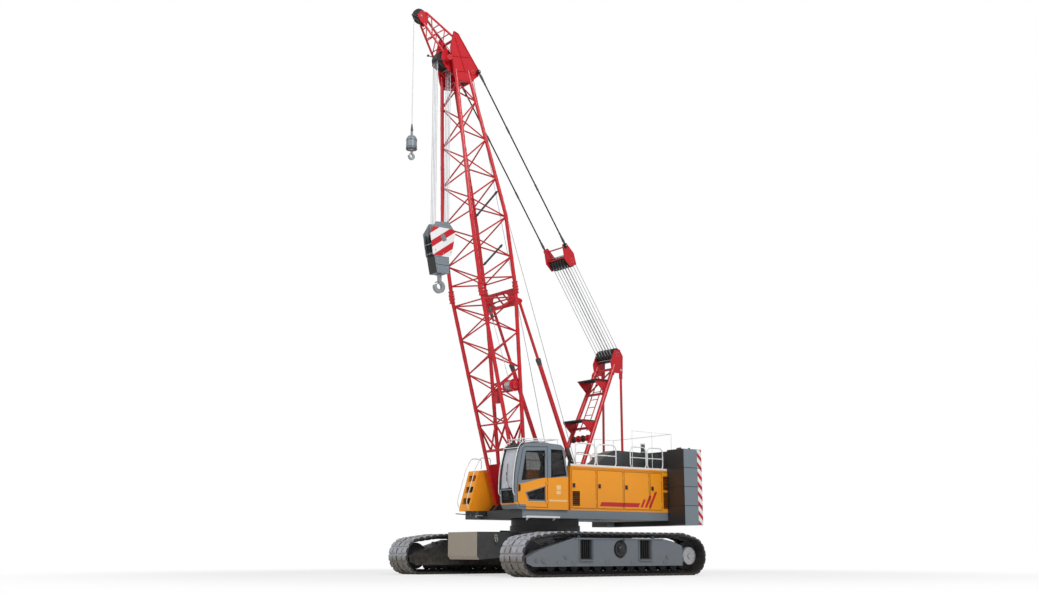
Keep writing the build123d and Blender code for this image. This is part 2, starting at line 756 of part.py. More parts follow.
def section_size(along):
    """Half-width and half-depth between the chords at a distance up the boom."""
    if along <= joint_s:
        share = (along - foot_section_start) / (joint_s - foot_section_start)
        width = foot_half_width + share * (joint_half_width - foot_half_width)
        return width, foot_half_depth + share * (joint_half_depth - foot_half_depth)
    if along <= parallel_end:
        return joint_half_width, joint_half_depth
    share = (along - parallel_end) / (head_start - parallel_end)
    width = joint_half_width + share * (head_half_width - joint_half_width)
    return width, joint_half_depth + share * (head_half_depth - joint_half_depth)


def chord_point(along, corner):
    width, depth = section_size(along)
    return on_boom(along, corner[0] * width, corner[1] * depth)


def lacing(first, last, bays):
    """Zigzag bracing on all four faces, with a frame of cross bars at both ends."""
    bars = []
    for face in range(4):
        near, far = chord_corners[face], chord_corners[(face + 1) % 4]
        for i in range(bays):
            start = first + (last - first) * i / bays
            end = first + (last - first) * (i + 1) / bays
            low, high = (near, far) if (i + face) % 2 == 0 else (far, near)
            bars.append(bar(chord_point(start, low), chord_point(end, high), lacing_radius, 6))
        for along in (first, last):
            bars.append(bar(chord_point(along, near), chord_point(along, far), lacing_radius, 6))
    return bars


def joint_ends(start, end):
    """The four thick ends that meet at the joint, true to the boom's axis."""
    ends = []
    for across, forward in chord_corners:
        low = on_boom(start, across * joint_half_width, forward * joint_half_depth)
        high = on_boom(end, across * joint_half_width, forward * joint_half_depth)
        ends.append(tube(low, high, chord_radius + 22))
    return ends


def boom_round(centre, y, radius, length):
    """A round pin or drum across the boom, its centre given along the boom and forward of its axis."""
    with BuildSketch(boom_plane.offset(y)) as section:
        with Locations(centre):
            Circle(radius)
    extrude(section.sketch, amount=length / 2, both=True)


lacing_start = 2750
foot_cross_along = 1900
tag_winch = (3910, -260)  # along the boom, forward of its axis
tag_winch_cheeks = (260, 700)
rear_frame_along = 6770
rod_eye = (6620, -860)  # along the boom, forward of its axis
rod_lug = ((-150, -600), (150, -600), (150, -700), (70, -860), (-70, -860), (-150, -700))
rod_lug_offset = 66
rod_pin_radius = 24
with BuildPart() as foot_section:
    bars = []
    for c in chord_corners:
        bars.append(tube(chord_point(foot_section_start, c), chord_point(joint_s - 90, c), chord_radius))
    bars += lacing(lacing_start, 6750, 7)
    bars += joint_ends(joint_s - 170, joint_s)
    # below the lacing: a cross bar on each face, with struts that meet at its middle
    for face in range(4):
        near, far = chord_corners[face], chord_corners[(face + 1) % 4]
        cross_low, cross_high = chord_point(foot_cross_along, near), chord_point(foot_cross_along, far)
        bars.append(bar(cross_low, cross_high, 40))
        for corner in (near, far):
            bars.append(bar(chord_point(lacing_start, corner), (cross_low + cross_high) * 0.5, 34, 6))
    # seat of the tag line winch, between the rear chords
    for along in (tag_winch[0] - 150, tag_winch[0] + 150):
        bars.append(bar(chord_point(along, (1, -1)), chord_point(along, (-1, -1)), 34))
    add(bars)
    for side_y in tag_winch_cheeks:
        cheek = ((-190, -470), (190, -470), (190, -380), (90, -150), (-90, -150), (-190, -380))
        boom_plate([(tag_winch[0] + along, forward) for along, forward in cheek], side_y, 24)
    boom_round(tag_winch, sum(tag_winch_cheeks) / 2, 120, tag_winch_cheeks[1] - tag_winch_cheeks[0])
    for side_y in (tag_winch_cheeks[0] + 30, tag_winch_cheeks[1] - 30):
        boom_round(tag_winch, side_y, 205, 20)
    # frame between the rear chords where the backstops push, with its slotted opening
    frame_depth = section_size(rear_frame_along)[1]
    rear_face = Plane(origin=on_boom(rear_frame_along, 0, -frame_depth), x_dir=(0, 1, 0), z_dir=boom_out)
    with BuildSketch(rear_face) as rear_frame:
        Rectangle(2 * section_size(rear_frame_along)[0], 570)
        SlotOverall(900, 330, mode=Mode.SUBTRACT)
    extrude(rear_frame.sketch, amount=14, both=True)
    # lugs of the backstops' rods
    for sign in (1, -1):
        base = ((-150, -700), (150, -700), (150, -600), (-150, -600))
        boom_plate([(rod_eye[0] + along, forward) for along, forward in base], sign * 740, 200)
        for side_sign in (1, -1):
            lug_y = sign * backstop_y + side_sign * rod_lug_offset
            boom_plate([(rod_eye[0] + along, forward) for along, forward in rod_lug], lug_y, 24)
            boom_round(rod_eye, lug_y, 70, 24)
            boom_round(rod_eye, lug_y + side_sign * 8, rod_pin_radius + 10, 40)
    # guide arm that keeps the hoist ropes off the rear face, with its cross roller
    for sign in (1, -1):
        boom_plate(((6920, -640), (7010, -640), (6660, -920), (6600, -900)), sign * 190, 20)
    boom_round((6655, -890), 0, 28, 400)
    for sign in (1, -1):
        lug = ((-120, -90), (-120, 90), (1350, 260), (1450, 260), (1450, -260), (1350, -260))
        boom_plate(lug, sign * 670, 120)
        with Locations(boom_plane.offset(sign * 670)):
            Cylinder(72, 130, mode=Mode.SUBTRACT)
save(foot_section, "boom_foot_section")

# side plates of the head: along the boom, forward of its axis
head_outline = (
    (14130, -310),
    (14330, -620),
    (14560, -640),
    (15740, -10),
    (15820, 140),
    (15250, 360),
    (14330, 340),
    (14130, 310),
)
inner_head_outline = (
    (14380, -60), (14700, -60), (15250, 300), (15200, 560), (14900, 640), (14650, 520),
    (14380, 200),
)

with BuildPart() as top_section:
    bars = []
    for c in chord_corners:
        bars.append(tube(chord_point(joint_s + 100, c), chord_point(parallel_end, c), chord_radius))
        bars.append(tube(chord_point(parallel_end, c), chord_point(head_start + 200, c), chord_radius))
    bars += joint_ends(joint_s, joint_s + 170)
    bars += lacing(7420, 14080, 10)
    for along, forward in ((15000, -230), (14480, 150), (15600, 40)):
        head_right = on_boom(along, -head_half_width, forward)
        head_left = on_boom(along, head_half_width, forward)
        bars.append(tube(head_right, head_left, 45))
    add(bars)
    for sign in (1, -1):
        boom_plate(head_outline, sign * head_half_width, 36)
        boom_plate(inner_head_outline, sign * 215, 24)
    pin(main_sheave[0], 0, main_sheave[1], pin_radius, 430)
    pin(guide_sheave[0], 0, guide_sheave[1], pin_radius, 2 * head_half_width)
    for sign in (1, -1):
        pin(pendant_pin[0], sign * 520, pendant_pin[1], pendant_pin_radius, 180)
        pin(pendant_pin[0], sign * 484, pendant_pin[1], 60, 74)
        for x, z, radius in ((main_sheave[0], main_sheave[1], 95), (guide_sheave[0], guide_sheave[1], 85)):
            pin(x, sign * (head_half_width + 24), z, radius, 30)
save(top_section, "boom_top_section")


# ---------------------------------------------------------------- sheaves and drums
groove_depth = 60  # from the rope's middle to the bottom of its groove


def sheave_pack(centre, pitch_radius, rope_ys, groove_half, bore):
    """Grooved sheaves side by side on one pin: a turned profile with a groove for each rope."""
    rim = pitch_radius + 42
    root = pitch_radius - groove_depth
    x, z = centre
    low_y = rope_ys[0] - groove_half - 10
    high_y = rope_ys[-1] + groove_half + 10
    points = [(low_y, bore), (low_y, rim)]
    for y in rope_ys:
        points += [(y - groove_half, rim), (y, root), (y + groove_half, rim)]
    points += [(high_y, rim), (high_y, bore)]
    profile_plane = Plane(origin=(x, 0, z), x_dir=(0, 1, 0), z_dir=(1, 0, 0))
    with BuildSketch(profile_plane) as profile:
        Polygon(*points, align=None)
    revolve(profile.sketch, axis=Axis((x, 0, z), (0, 1, 0)))


# sheaves: name, centre, radius to the rope, rope places across, half-width of a groove
sheave_sets = (
    ("main_sheaves", main_sheave, main_sheave_radius, fall_y, 34),
    ("tip_sheave", tip_sheave, tip_sheave_radius, (0,), 34),
    ("guide_sheaves", guide_sheave, guide_sheave_radius, (-120, 120), 34),
    ("block_sheaves", (main_sheave[0], block_sheave_z), main_sheave_radius, fall_y, 34),
    ("bridle_sheaves", bridle_pin, stay_sheave_radius, stay_rope_y, 30),
    ("gantry_sheaves", gantry_sheave, stay_sheave_radius, stay_rope_y, 30),
)
for name, centre, pitch_radius, rope_ys, groove_half in sheave_sets:
    with BuildPart() as sheaves:
        sheave_pack(centre, pitch_radius, rope_ys, groove_half, pin_radius + 3)
    save(sheaves, name)

for name, x, barrel in winch_drums:
    with BuildPart() as drum:
        pin(x, 0, drum_z, barrel, 960)
        for y in (-455, 455):
            pin(x, y, drum_z, barrel + 130, 50)
    save(drum, f"{name}_winch_drum")

# ---------------------------------------------------------------- tip section
tip_lower = ((4440, 300, 16950), (5080, 100, 17830))
tip_upper = ((4060, 300, 17560), (4990, 100, 18230))
with BuildPart() as tip_jib:
    bars = []
    for sign in (1, -1):
        lower = [Vector(x, sign * y, z) for x, y, z in tip_lower]
        upper = [Vector(x, sign * y, z) for x, y, z in tip_upper]
        bars.append(tube(lower[0], lower[1], 36))
        bars.append(tube(upper[0], upper[1], 36))
        for start, end in ((0.05, 0.3), (0.55, 0.3), (0.55, 0.8)):
            web_low = lower[0] + (lower[1] - lower[0]) * start
            web_high = upper[0] + (upper[1] - upper[0]) * end
            bars.append(bar(web_low, web_high, 20, 6))
    for share in (0.12, 0.5, 0.85):
        for run in (tip_lower, tip_upper):
            low, high = Vector(*run[0]), Vector(*run[1])
            at = low + (high - low) * share
            bars.append(bar(at, Vector(at.X, -at.Y, at.Z), 20, 6))
    add(bars)
    for sign in (1, -1):
        cheek = ((4960, 17780), (5180, 17860), (5330, 18070), (5180, 18260), (4930, 18260), (4900, 18020))
        side_plate(cheek, sign * 75, 30)
    pin(tip_sheave[0], 0, tip_sheave[1], pin_radius, 140)
save(tip_jib, "tip_jib")

# ---------------------------------------------------------------- main hook block
block_x = main_sheave[0]
# outline of a cheek plate: x from the block's middle, z
block_outline = (
    (-470, 10840), (-320, 10040), (-230, 9980), (330, 9960), (380, 10010), (500, 10710),
    (280, 11100), (-200, 11150),
)
with BuildPart() as main_block:
    for sign in (1, -1):
        side_plate([(block_x + x, z) for x, z in block_outline], sign * block_half_width, 30)
    pin(block_x, 0, block_sheave_z, pin_radius, 2 * block_half_width - 30)
    for x, z in ((-280, 10160), (300, 10160), (0, 10080)):
        pin(block_x + x, 0, z, 30, 2 * block_half_width - 30)
    outline = ((-240, 9460), (220, 9430), (330, 9950), (-230, 9970))
    side_plate([(block_x + x, z) for x, z in outline], 0, 2 * block_half_width + 30)
    with Locations((block_x, 0, 9500)):
        Cylinder(62, 400, mode=Mode.SUBTRACT)
save(main_block, "main_block")

with BuildPart() as main_falls:
    ropes = []
    for y in fall_y:
        for x in (block_x - main_sheave_radius, block_x + main_sheave_radius):
            ropes.append(tube((x, y, block_sheave_z), (x, y, main_sheave[1]), rope_radius))
    add(ropes)
save(main_falls, "main_hoist_falls")


def hook_shape(x, z, size, nut_top):
    """A single hook: shank, bowl and point in one plane, with the shank's nut above."""
    bowl = 0.62 * size
    with BuildSketch(Plane.XZ) as outline:
        with Locations((x, z)):
            Circle(bowl)
        with Locations((x + 0.04 * size, z + 0.05 * size)):
            Circle(0.3 * size, mode=Mode.SUBTRACT)
        with Locations((x + 0.55 * size, z + 0.45 * size)):
            Rectangle(0.9 * size, 0.5 * size, rotation=-25, mode=Mode.SUBTRACT)
        with Locations((x - 0.05 * size, z + 0.75 * size)):
            Rectangle(0.3 * size, 0.6 * size)
    extrude(outline.sketch, amount=0.17 * size, both=True)
    with Locations((x, 0, (z + size + nut_top) / 2)):
        Cylinder(0.17 * size, nut_top - z - size)


with BuildPart() as main_hook:
    hook_shape(block_x, 9020, 330, 9660)
save(main_hook, "main_hook")

aux_x = tip_sheave[0] + tip_sheave_radius
with BuildPart() as aux_weight:
    profile_plane = Plane(origin=(aux_x, 0, 0), x_dir=(1, 0, 0), z_dir=(0, -1, 0))
    with BuildSketch(profile_plane) as profile:
        outline = (
            (0, 13400), (150, 13400), (175, 13440), (175, 13760), (120, 13850), (45, 13870),
            (40, 14010), (0, 14010),
        )
        Polygon(*outline, align=None)
    revolve(profile.sketch, axis=Axis((aux_x, 0, 0), (0, 0, 1)))
    with Locations((aux_x, 0, 13450)):
        Cylinder(38, 200, mode=Mode.SUBTRACT)
save(aux_weight, "auxiliary_weight")

with BuildPart() as aux_rope:
    add(tube((aux_x, 0, 14010), (aux_x, 0, tip_sheave[1]), rope_radius))
save(aux_rope, "auxiliary_hoist_rope")

with BuildPart() as aux_hook:
    hook_shape(aux_x, 13170, 190, 13520)
save(aux_hook, "auxiliary_hook")

# ---------------------------------------------------------------- gantry
gantry_foot_point = Vector(*gantry_foot)
gantry_top_point = Vector(*gantry_top)


def gantry_leg_point(share, sign):
    at = gantry_foot_point + (gantry_top_point - gantry_foot_point) * share
    return Vector(at.X, sign * at.Y, at.Z)


def gantry_ladder_point(share, y):
    at = gantry_leg_point(share, 1)
    return Vector(at.X, y, at.Z)


# walkways on the gantry: rear edge, underside
platform_places = ((-1738, 5060), (-2390, 6500))
# bracket below a walkway, from its rear edge and underside: forward, down
platform_bracket = ((-90, 2), (515, 2), (515, 45), (140, 400), (60, 400))


with BuildPart() as gantry:
    bars = []
    for sign in (1, -1):
        bars.append(tube(gantry_leg_point(0, sign), gantry_leg_point(1, sign), 75))
        bars.append(tube((gantry_stay_x, sign * 500, 2200), (gantry_stay_x, sign * 470, 6980), 42))
    for share in (0.52, 0.78, 0.97):
        bars.append(bar(gantry_leg_point(share, 1), gantry_leg_point(share, -1), 45))
    for sign in (1, -1):
        bars.append(bar(gantry_leg_point(0.78, sign), gantry_leg_point(0.97, -sign), 30, 6))
        bars.append(bar(gantry_ladder_point(0.5, sign * 190), gantry_ladder_point(0.88, sign * 190), 20, 6))
    for rung in range(6):
        share = 0.56 + rung * 0.06
        bars.append(bar(gantry_ladder_point(share, -190), gantry_ladder_point(share, 190), 14, 6))
    add(bars)
    # brackets below the walkways
    for x, z in platform_places:
        leg_share = (z - gantry_foot[2]) / (gantry_top[2] - gantry_foot[2])
        for sign in (1, -1):
            bracket = [(x + reach, z - drop) for reach, drop in platform_bracket]
            side_plate(bracket, sign * (gantry_leg_point(leg_share, 1).Y - 30), 24)
    for sign in (1, -1):
        leg_pin_end = backstop_y - bracket_width / 2
        leg_pin_y = sign * (gantry_foot[1] + leg_pin_end) / 2
        pin(gantry_foot[0], leg_pin_y, gantry_foot[2], 55, leg_pin_end - gantry_foot[1])
        pin(gantry_stay_x, sign * 515, 2230, 30, 70)
        head = ((-2640, 6820), (-3080, 6820), (-3100, 7420), (-2960, 7640), (-2760, 7620), (-2580, 7200))
        side_plate(head, sign * 470, 36)
    pin(gantry_sheave[0], 0, gantry_sheave[1], pin_radius, 940)
save(gantry, "gantry")

with BuildPart() as platforms:
    for x, z in platform_places:
        box_between((x, -520, z), (x + 520, 520, z + 40))
save(platforms, "gantry_platforms")

# ---------------------------------------------------------------- luffing gear
bridle_eye = (-520, 11010)
with BuildPart() as bridle:
    for sign in (1, -1):
        ear = ((-1010, 10420), (-760, 10330), (-520, 10560), (-430, 11050), (-560, 11120), (-900, 10800))
        side_plate(ear, sign * pendant_y, 40)
    pin(bridle_pin[0], 0, bridle_pin[1], pin_radius, 2 * pendant_y)
    for sign in (1, -1):
        pin(bridle_eye[0], sign * (pendant_y + 40), bridle_eye[1], pendant_pin_radius, 120)
    # spacers that tie the two ears together, clear of the sheaves
    for x, z in ((-600, 10640), (-600, 11010)):
        pin(x, 0, z, 24, 2 * pendant_y)
save(bridle, "bridle")

with BuildPart() as pendants:
    ropes = []
    for sign in (1, -1):
        y = sign * (pendant_y + 50)
        ropes.append(tube((bridle_eye[0], y, bridle_eye[1]), (pendant_pin[0], y, pendant_pin[1]), 24))
    add(ropes)
    for sign in (1, -1):
        y = sign * (pendant_y + 50)
        for x, z in (bridle_eye, pendant_pin):
            pin(x, y, z, 70, 60)
            pin(x, y, z, pendant_pin_radius + 2, 62, Mode.SUBTRACT)
save(pendants, "pendants")

stay_run = Vector(bridle_pin[0] - gantry_sheave[0], 0, bridle_pin[1] - gantry_sheave[1])
stay_side = Vector(stay_run.Z, 0, -stay_run.X).normalized() * stay_sheave_radius
with BuildPart() as luffing_ropes:
    ropes = []
    for y in stay_rope_y:
        for side_sign in (1, -1):
            start = Vector(gantry_sheave[0], y, gantry_sheave[1]) + stay_side * side_sign
            ropes.append(tube(start, start + stay_run, rope_radius))
    add(ropes)
save(luffing_ropes, "luffing_ropes")

hoist_lines = ((120, -600, 270), (-120, -2050, 270))  # across, drum x, barrel radius
with BuildPart() as hoist_ropes:
    ropes = []
    for y, drum_x, barrel in hoist_lines:
        # common tangent: in front of the drum, behind the guide sheave
        dx = guide_sheave[0] - drum_x
        dz = guide_sheave[1] - drum_z
        length = hypot(dx, dz)
        reach = barrel + rope_radius + 6
        lean = (reach + guide_sheave_radius) / length
        normal = atan2(dz, dx) - atan2(sqrt(1 - lean * lean), lean)
        start = Vector(drum_x + reach * cos(normal), y, drum_z + reach * sin(normal))
        end_x = guide_sheave[0] - guide_sheave_radius * cos(normal)
        end_z = guide_sheave[1] - guide_sheave_radius * sin(normal)
        ropes.append(tube(start, (end_x, y, end_z), rope_radius))
    add(ropes)
save(hoist_ropes, "hoist_ropes")

# ---------------------------------------------------------------- backstops
eye = on_boom(rod_eye[0], 0, rod_eye[1])
backstop_run = Vector(eye.X - backstop_foot[0], 0, eye.Z - backstop_foot[1])
backstop_length = backstop_run.length
backstop_way = backstop_run.normalized()


def on_backstop(distance, sign):
    return Vector(backstop_foot[0], sign * backstop_y, backstop_foot[1]) + backstop_way * distance


tube_radius = 72
bore_radius = 56
rod_radius = 48
fork_radius = 64
fork_reach = 270  # from the pin to the end of the fork's cheeks
cheek_width = 24
cheek_offset = bracket_width / 2 + 6 + cheek_width / 2
backstop_plane = Plane(origin=(backstop_foot[0], 0, backstop_foot[1]), x_dir=backstop_way, z_dir=(0, 1, 0))
with BuildPart() as backstop_tubes:
    for sign in (1, -1):
        with BuildSketch(Plane(origin=on_backstop(210, sign), z_dir=backstop_way)) as section:
            Circle(tube_radius)
        extrude(section.sketch, amount=3330)
        for side_sign in (1, -1):
            with BuildSketch(backstop_plane.offset(sign * backstop_y + side_sign * cheek_offset)) as cheek:
                with Locations((fork_reach / 2, 0)):
                    Rectangle(fork_reach, 2 * fork_radius)
                Circle(fork_radius)
                Circle(backstop_pin_radius + 2, mode=Mode.SUBTRACT)
            extrude(cheek.sketch, amount=cheek_width / 2, both=True)
        with BuildSketch(Plane(origin=on_backstop(330, sign), z_dir=backstop_way)) as bore:
            Circle(bore_radius)
        extrude(bore.sketch, amount=3400, mode=Mode.SUBTRACT)
save(backstop_tubes, "backstop_tubes")

with BuildPart() as backstop_rods:
    rods = []
    for sign in (1, -1):
        rods.append(tube(on_backstop(900, sign), on_backstop(backstop_length - 30, sign), rod_radius))
    add(rods)
    for sign in (1, -1):
        pin(eye.X, sign * backstop_y, eye.Z, 75, 90)
        pin(eye.X, sign * backstop_y, eye.Z, rod_pin_radius, 2 * rod_lug_offset - 28)
save(backstop_rods, "backstop_rods")
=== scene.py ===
import math

import bpy
import numpy as np
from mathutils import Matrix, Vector


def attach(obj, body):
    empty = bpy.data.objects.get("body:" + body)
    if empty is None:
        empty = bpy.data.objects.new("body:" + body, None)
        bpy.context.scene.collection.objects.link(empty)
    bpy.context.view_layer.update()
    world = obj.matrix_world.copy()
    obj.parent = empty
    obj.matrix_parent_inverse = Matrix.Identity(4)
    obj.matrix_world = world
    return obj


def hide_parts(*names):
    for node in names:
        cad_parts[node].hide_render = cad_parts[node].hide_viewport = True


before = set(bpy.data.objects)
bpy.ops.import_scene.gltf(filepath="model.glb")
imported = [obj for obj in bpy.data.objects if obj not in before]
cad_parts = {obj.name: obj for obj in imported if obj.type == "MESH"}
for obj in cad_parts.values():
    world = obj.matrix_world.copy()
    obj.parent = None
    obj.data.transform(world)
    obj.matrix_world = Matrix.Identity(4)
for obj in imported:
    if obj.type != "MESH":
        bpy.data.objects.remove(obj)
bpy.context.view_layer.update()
print("frame loaded,", len(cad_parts), "nodes")

# Crawler crane with a lattice boom: +X forward, +Y the cab side, +Z up, in metres, ground at z = 0.

# shapes: every part is (points, flat corner list, corners per face)


def joined(*parts):  # parts stacked into one, each corner list shifted by the points before it
    shift = np.cumsum([0] + [len(p[0]) for p in parts[:-1]])
    return (
        np.concatenate([p[0] for p in parts]),
        np.concatenate([p[1] + s for p, s in zip(parts, shift)]),
        np.concatenate([p[2] for p in parts]),
    )


def gridPart(points, wrapRows=False, wrapColumns=True, capped=True):
    # a rows by columns grid of points; face (i, j) joins rows i, i+1 and columns j, j+1
    points = np.asarray(points, float)
    rows, columns = points.shape[:2]
    index = np.arange(rows * columns).reshape(rows, columns)
    near = index if wrapRows else index[:-1]
    far = np.roll(index, -1, 0) if wrapRows else index[1:]
    if wrapColumns:
        quads = np.stack([near, np.roll(near, -1, 1), np.roll(far, -1, 1), far], -1)
    else:
        quads = np.stack([near[:, :-1], near[:, 1:], far[:, 1:], far[:, :-1]], -1)
    flat = quads.reshape(-1)
    sizes = np.full(len(flat) // 4, 4)
    if capped and wrapColumns and not wrapRows:
        flat = np.concatenate([flat, index[0][::-1], index[-1]])
        sizes = np.concatenate([sizes, [columns, columns]])
    return points.reshape(-1, 3), flat, sizes


def unit(vectors):
    vectors = np.asarray(vectors, float)
    return vectors / np.maximum(np.linalg.norm(vectors, axis=-1, keepdims=True), 1e-9)


def sweep(path, profile, up, closed=False, scale=None):
    # point(i, j) = path[i] + profile[j].x * side[i] + profile[j].y * rise[i]; side = tangent x up
    path = np.asarray(path, float)
    profile = np.asarray(profile, float)
    before, after = path[:1] * 2 - path[1:2], path[-1:] * 2 - path[-2:-1]
    ahead = np.roll(path, -1, 0) - path if closed else np.diff(path, axis=0, append=after)
    behind = path - np.roll(path, 1, 0) if closed else np.diff(path, axis=0, prepend=before)
    tangent = unit(unit(ahead) + unit(behind))
    side = unit(np.cross(tangent, np.asarray(up, float)))
    rise = np.cross(side, tangent)
    size = np.ones(len(path)) if scale is None else np.asarray(scale, float)
    offset = profile[None, :, :1] * side[:, None] + profile[None, :, 1:] * rise[:, None]
    return gridPart(path[:, None] + offset * size[:, None, None], wrapRows=closed)


def circle(radius, sides):  # (r cos t, r sin t), t round the turn
    turn = np.linspace(0, 2 * np.pi, sides, endpoint=False)
    return np.stack([np.cos(turn), np.sin(turn)], -1) * radius


def steepAxis(path):  # a direction that the path never runs along
    run = np.abs(np.asarray(path[-1], float) - np.asarray(path[0], float))
    return np.eye(3)[int(np.argmin(run))]


def pipe(path, radius, sides, up=None, closed=False):
    return sweep(path, circle(radius, sides), steepAxis(path) if up is None else up, closed)


def filleted(points, radius, steps):
    # each inner corner becomes a quadratic curve between the points one radius before and after it
    points = np.asarray(points, float)
    corner = points[1:-1]
    before = corner + unit(points[:-2] - corner) * radius
    after = corner + unit(points[2:] - corner) * radius
    t = np.linspace(0, 1, steps)[None, :, None]
    curve = (1 - t) ** 2 * before[:, None] + 2 * t * (1 - t) * corner[:, None] + t**2 * after[:, None]
    return np.concatenate([points[:1], curve.reshape(-1, 3), points[-1:]])


axes = {"x": 0, "y": 1, "z": 2}


def placed(first, second, third, axis):  # columns ordered so that third runs along the named axis
    order = {"x": (third, first, second), "y": (first, third, second), "z": (first, second, third)}[axis]
    return np.stack(np.broadcast_arrays(*order), -1)


def turned(profile, centre, axis, sides, capped=True):
    # profile rows are (radius, along); point = centre + radius (cos t, sin t) across and along the axis
    profile = np.asarray(profile, float)
    turn = np.linspace(0, 2 * np.pi, sides, endpoint=False)
    radius, along = profile[:, :1], profile[:, 1:]
    points = placed(radius * np.cos(turn), radius * np.sin(turn), along + 0 * turn, axis)
    part = gridPart(points + np.asarray(centre, float), capped=capped)
    return flipped(part) if axis == "y" else part


def flipped(part):  # the same part with every face turned over
    points, flat, sizes = part
    ends = np.cumsum(sizes)
    place = np.arange(len(flat))
    face = np.repeat(np.arange(len(sizes)), sizes)
    return points, flat[(ends - sizes)[face] + (ends[face] - 1 - place)], sizes


def facesOut(part):
    # turned over where the enclosed volume, the sum of c . (a x b) / 6 round every face, is negative
    points, flat, sizes = part
    starts = np.cumsum(sizes) - sizes
    face = np.repeat(np.arange(len(sizes)), sizes)
    following = np.arange(len(flat)) + 1
    following[starts + sizes - 1] = starts
    shifted = points - points.mean(0)
    a, b = shifted[flat], shifted[flat[following]]
    centre = np.add.reduceat(a, starts, axis=0) / sizes[:, None]
    return part if np.sum(centre[face] * np.cross(a, b)) >= 0 else flipped(part)


def insetOutline(outline, amount):
    # every corner moves along the bisector of its two edges, so that each edge moves in by the amount
    outline = np.asarray(outline, float)
    before = unit(outline - np.roll(outline, 1, 0))
    after = unit(np.roll(outline, -1, 0) - outline)
    normal = unit(np.stack([-(before + after)[:, 1], (before + after)[:, 0]], -1))
    lean = np.maximum(np.sum(normal * np.stack([-before[:, 1], before[:, 0]], -1), -1), 0.35)
    return outline + normal * (amount / lean)[:, None]


def turnsLeft(outline):  # True where the outline runs anticlockwise
    x, y = np.asarray(outline, float).T
    return np.sum(x * np.roll(y, -1) - y * np.roll(x, -1)) > 0


def slab(outline, low, high, axis="y", edge=0.006):
    # an outline carried along an axis, with its rim eased by one bevel at each face
    outline = np.asarray(outline, float)
    outline = outline if turnsLeft(outline) else outline[::-1]
    edge = min(edge, abs(high - low) * 0.45)
    inner = insetOutline(outline, edge)
    rows = [(inner, low), (outline, low + edge), (outline, high - edge), (inner, high)]
    points = np.stack([placed(ring[:, 0], ring[:, 1], at, axis) for ring, at in rows])
    part = gridPart(points)
    return flipped(part) if axis == "y" else part


def block(low, high, edge=0.01, axis="z"):
    # a box with eased edges: a chamfered rectangle carried along the axis
    low, high = np.minimum(low, high).astype(float), np.maximum(low, high).astype(float)
    a, b = [k for k in range(3) if k != axes[axis]]
    c = min(edge, 0.45 * (high[a] - low[a]), 0.45 * (high[b] - low[b]))
    left, right, bottom, top = low[a], high[a], low[b], high[b]
    outline = [(left + c, bottom), (right - c, bottom), (right, bottom + c), (right, top - c),
               (right - c, top), (left + c, top), (left, top - c), (left, bottom + c)]
    return slab(outline, low[axes[axis]], high[axes[axis]], axis, c)


def copied(part, points):  # the part once for each row of moved corners
    count, corners = points.shape[:2]
    shift = np.repeat(np.arange(count) * corners, len(part[1]))
    return points.reshape(-1, 3), np.tile(part[1], count) + shift, np.tile(part[2], count)


def repeated(part, places):  # the part once at each place
    return copied(part, part[0] + np.asarray(places, float).reshape(-1, 1, 3))


def turnedAbout(part, angle, axis):  # rotation by the angle about an axis through the origin
    points, flat, sizes = part
    cosine, sine = math.cos(angle), math.sin(angle)
    a, b = {"x": (1, 2), "y": (2, 0), "z": (0, 1)}[axis]
    result = points.copy()
    result[:, a] = cosine * points[:, a] - sine * points[:, b]
    result[:, b] = sine * points[:, a] + cosine * points[:, b]
    return result, flat, sizes


def mirrored(part):  # the part reflected in the middle plane, its faces turned back outwards
    return flipped((part[0] * (1.0, -1.0, 1.0), part[1], part[2]))


def bothSides(*parts):  # the parts, faces outwards, and their reflections
    one = joined(*[facesOut(part) for part in parts])
    return joined(one, mirrored(one))


def boltHeads(places, across=0.03, height=0.015, axis="y", out=1):
    # six-sided heads with an eased top, one at each place, standing out along the axis
    rows = [(across / 2, 0), (across / 2, height * 0.75 * out), (across * 0.38, height * out)]
    head = turned(rows, (0, 0, 0), axis, 6)
    if out < 0:
        head = flipped(head)
    return repeated(head, places)


def makePiece(name, parts, paint, body, smoothAngle=32):
    points, flat, sizes = joined(*[facesOut(p) for p in parts])
    mesh = bpy.data.meshes.new(name)
    mesh.vertices.add(len(points))
    mesh.vertices.foreach_set("co", points.astype(np.float32).ravel())
    mesh.loops.add(len(flat))
    mesh.loops.foreach_set("vertex_index", flat.astype(np.int32))
    mesh.polygons.add(len(sizes))
    mesh.polygons.foreach_set("loop_start", (np.cumsum(sizes) - sizes).astype(np.int32))
    mesh.update(calc_edges=True)
    mesh.validate()
    mesh.shade_smooth()
    mesh.set_sharp_from_angle(angle=math.radians(smoothAngle))
    mesh.materials.append(paints[paint])
    piece = bpy.data.objects.new(name, mesh)
    bpy.context.scene.collection.objects.link(piece)
    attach(piece, body)
    return piece


# shader maths: a wrapped socket that can be written in plain sums


def operator(operation, reflected=False):
    def apply(self, other):
        return self.maths(operation, *((other, self) if reflected else (self, other)))

    return apply


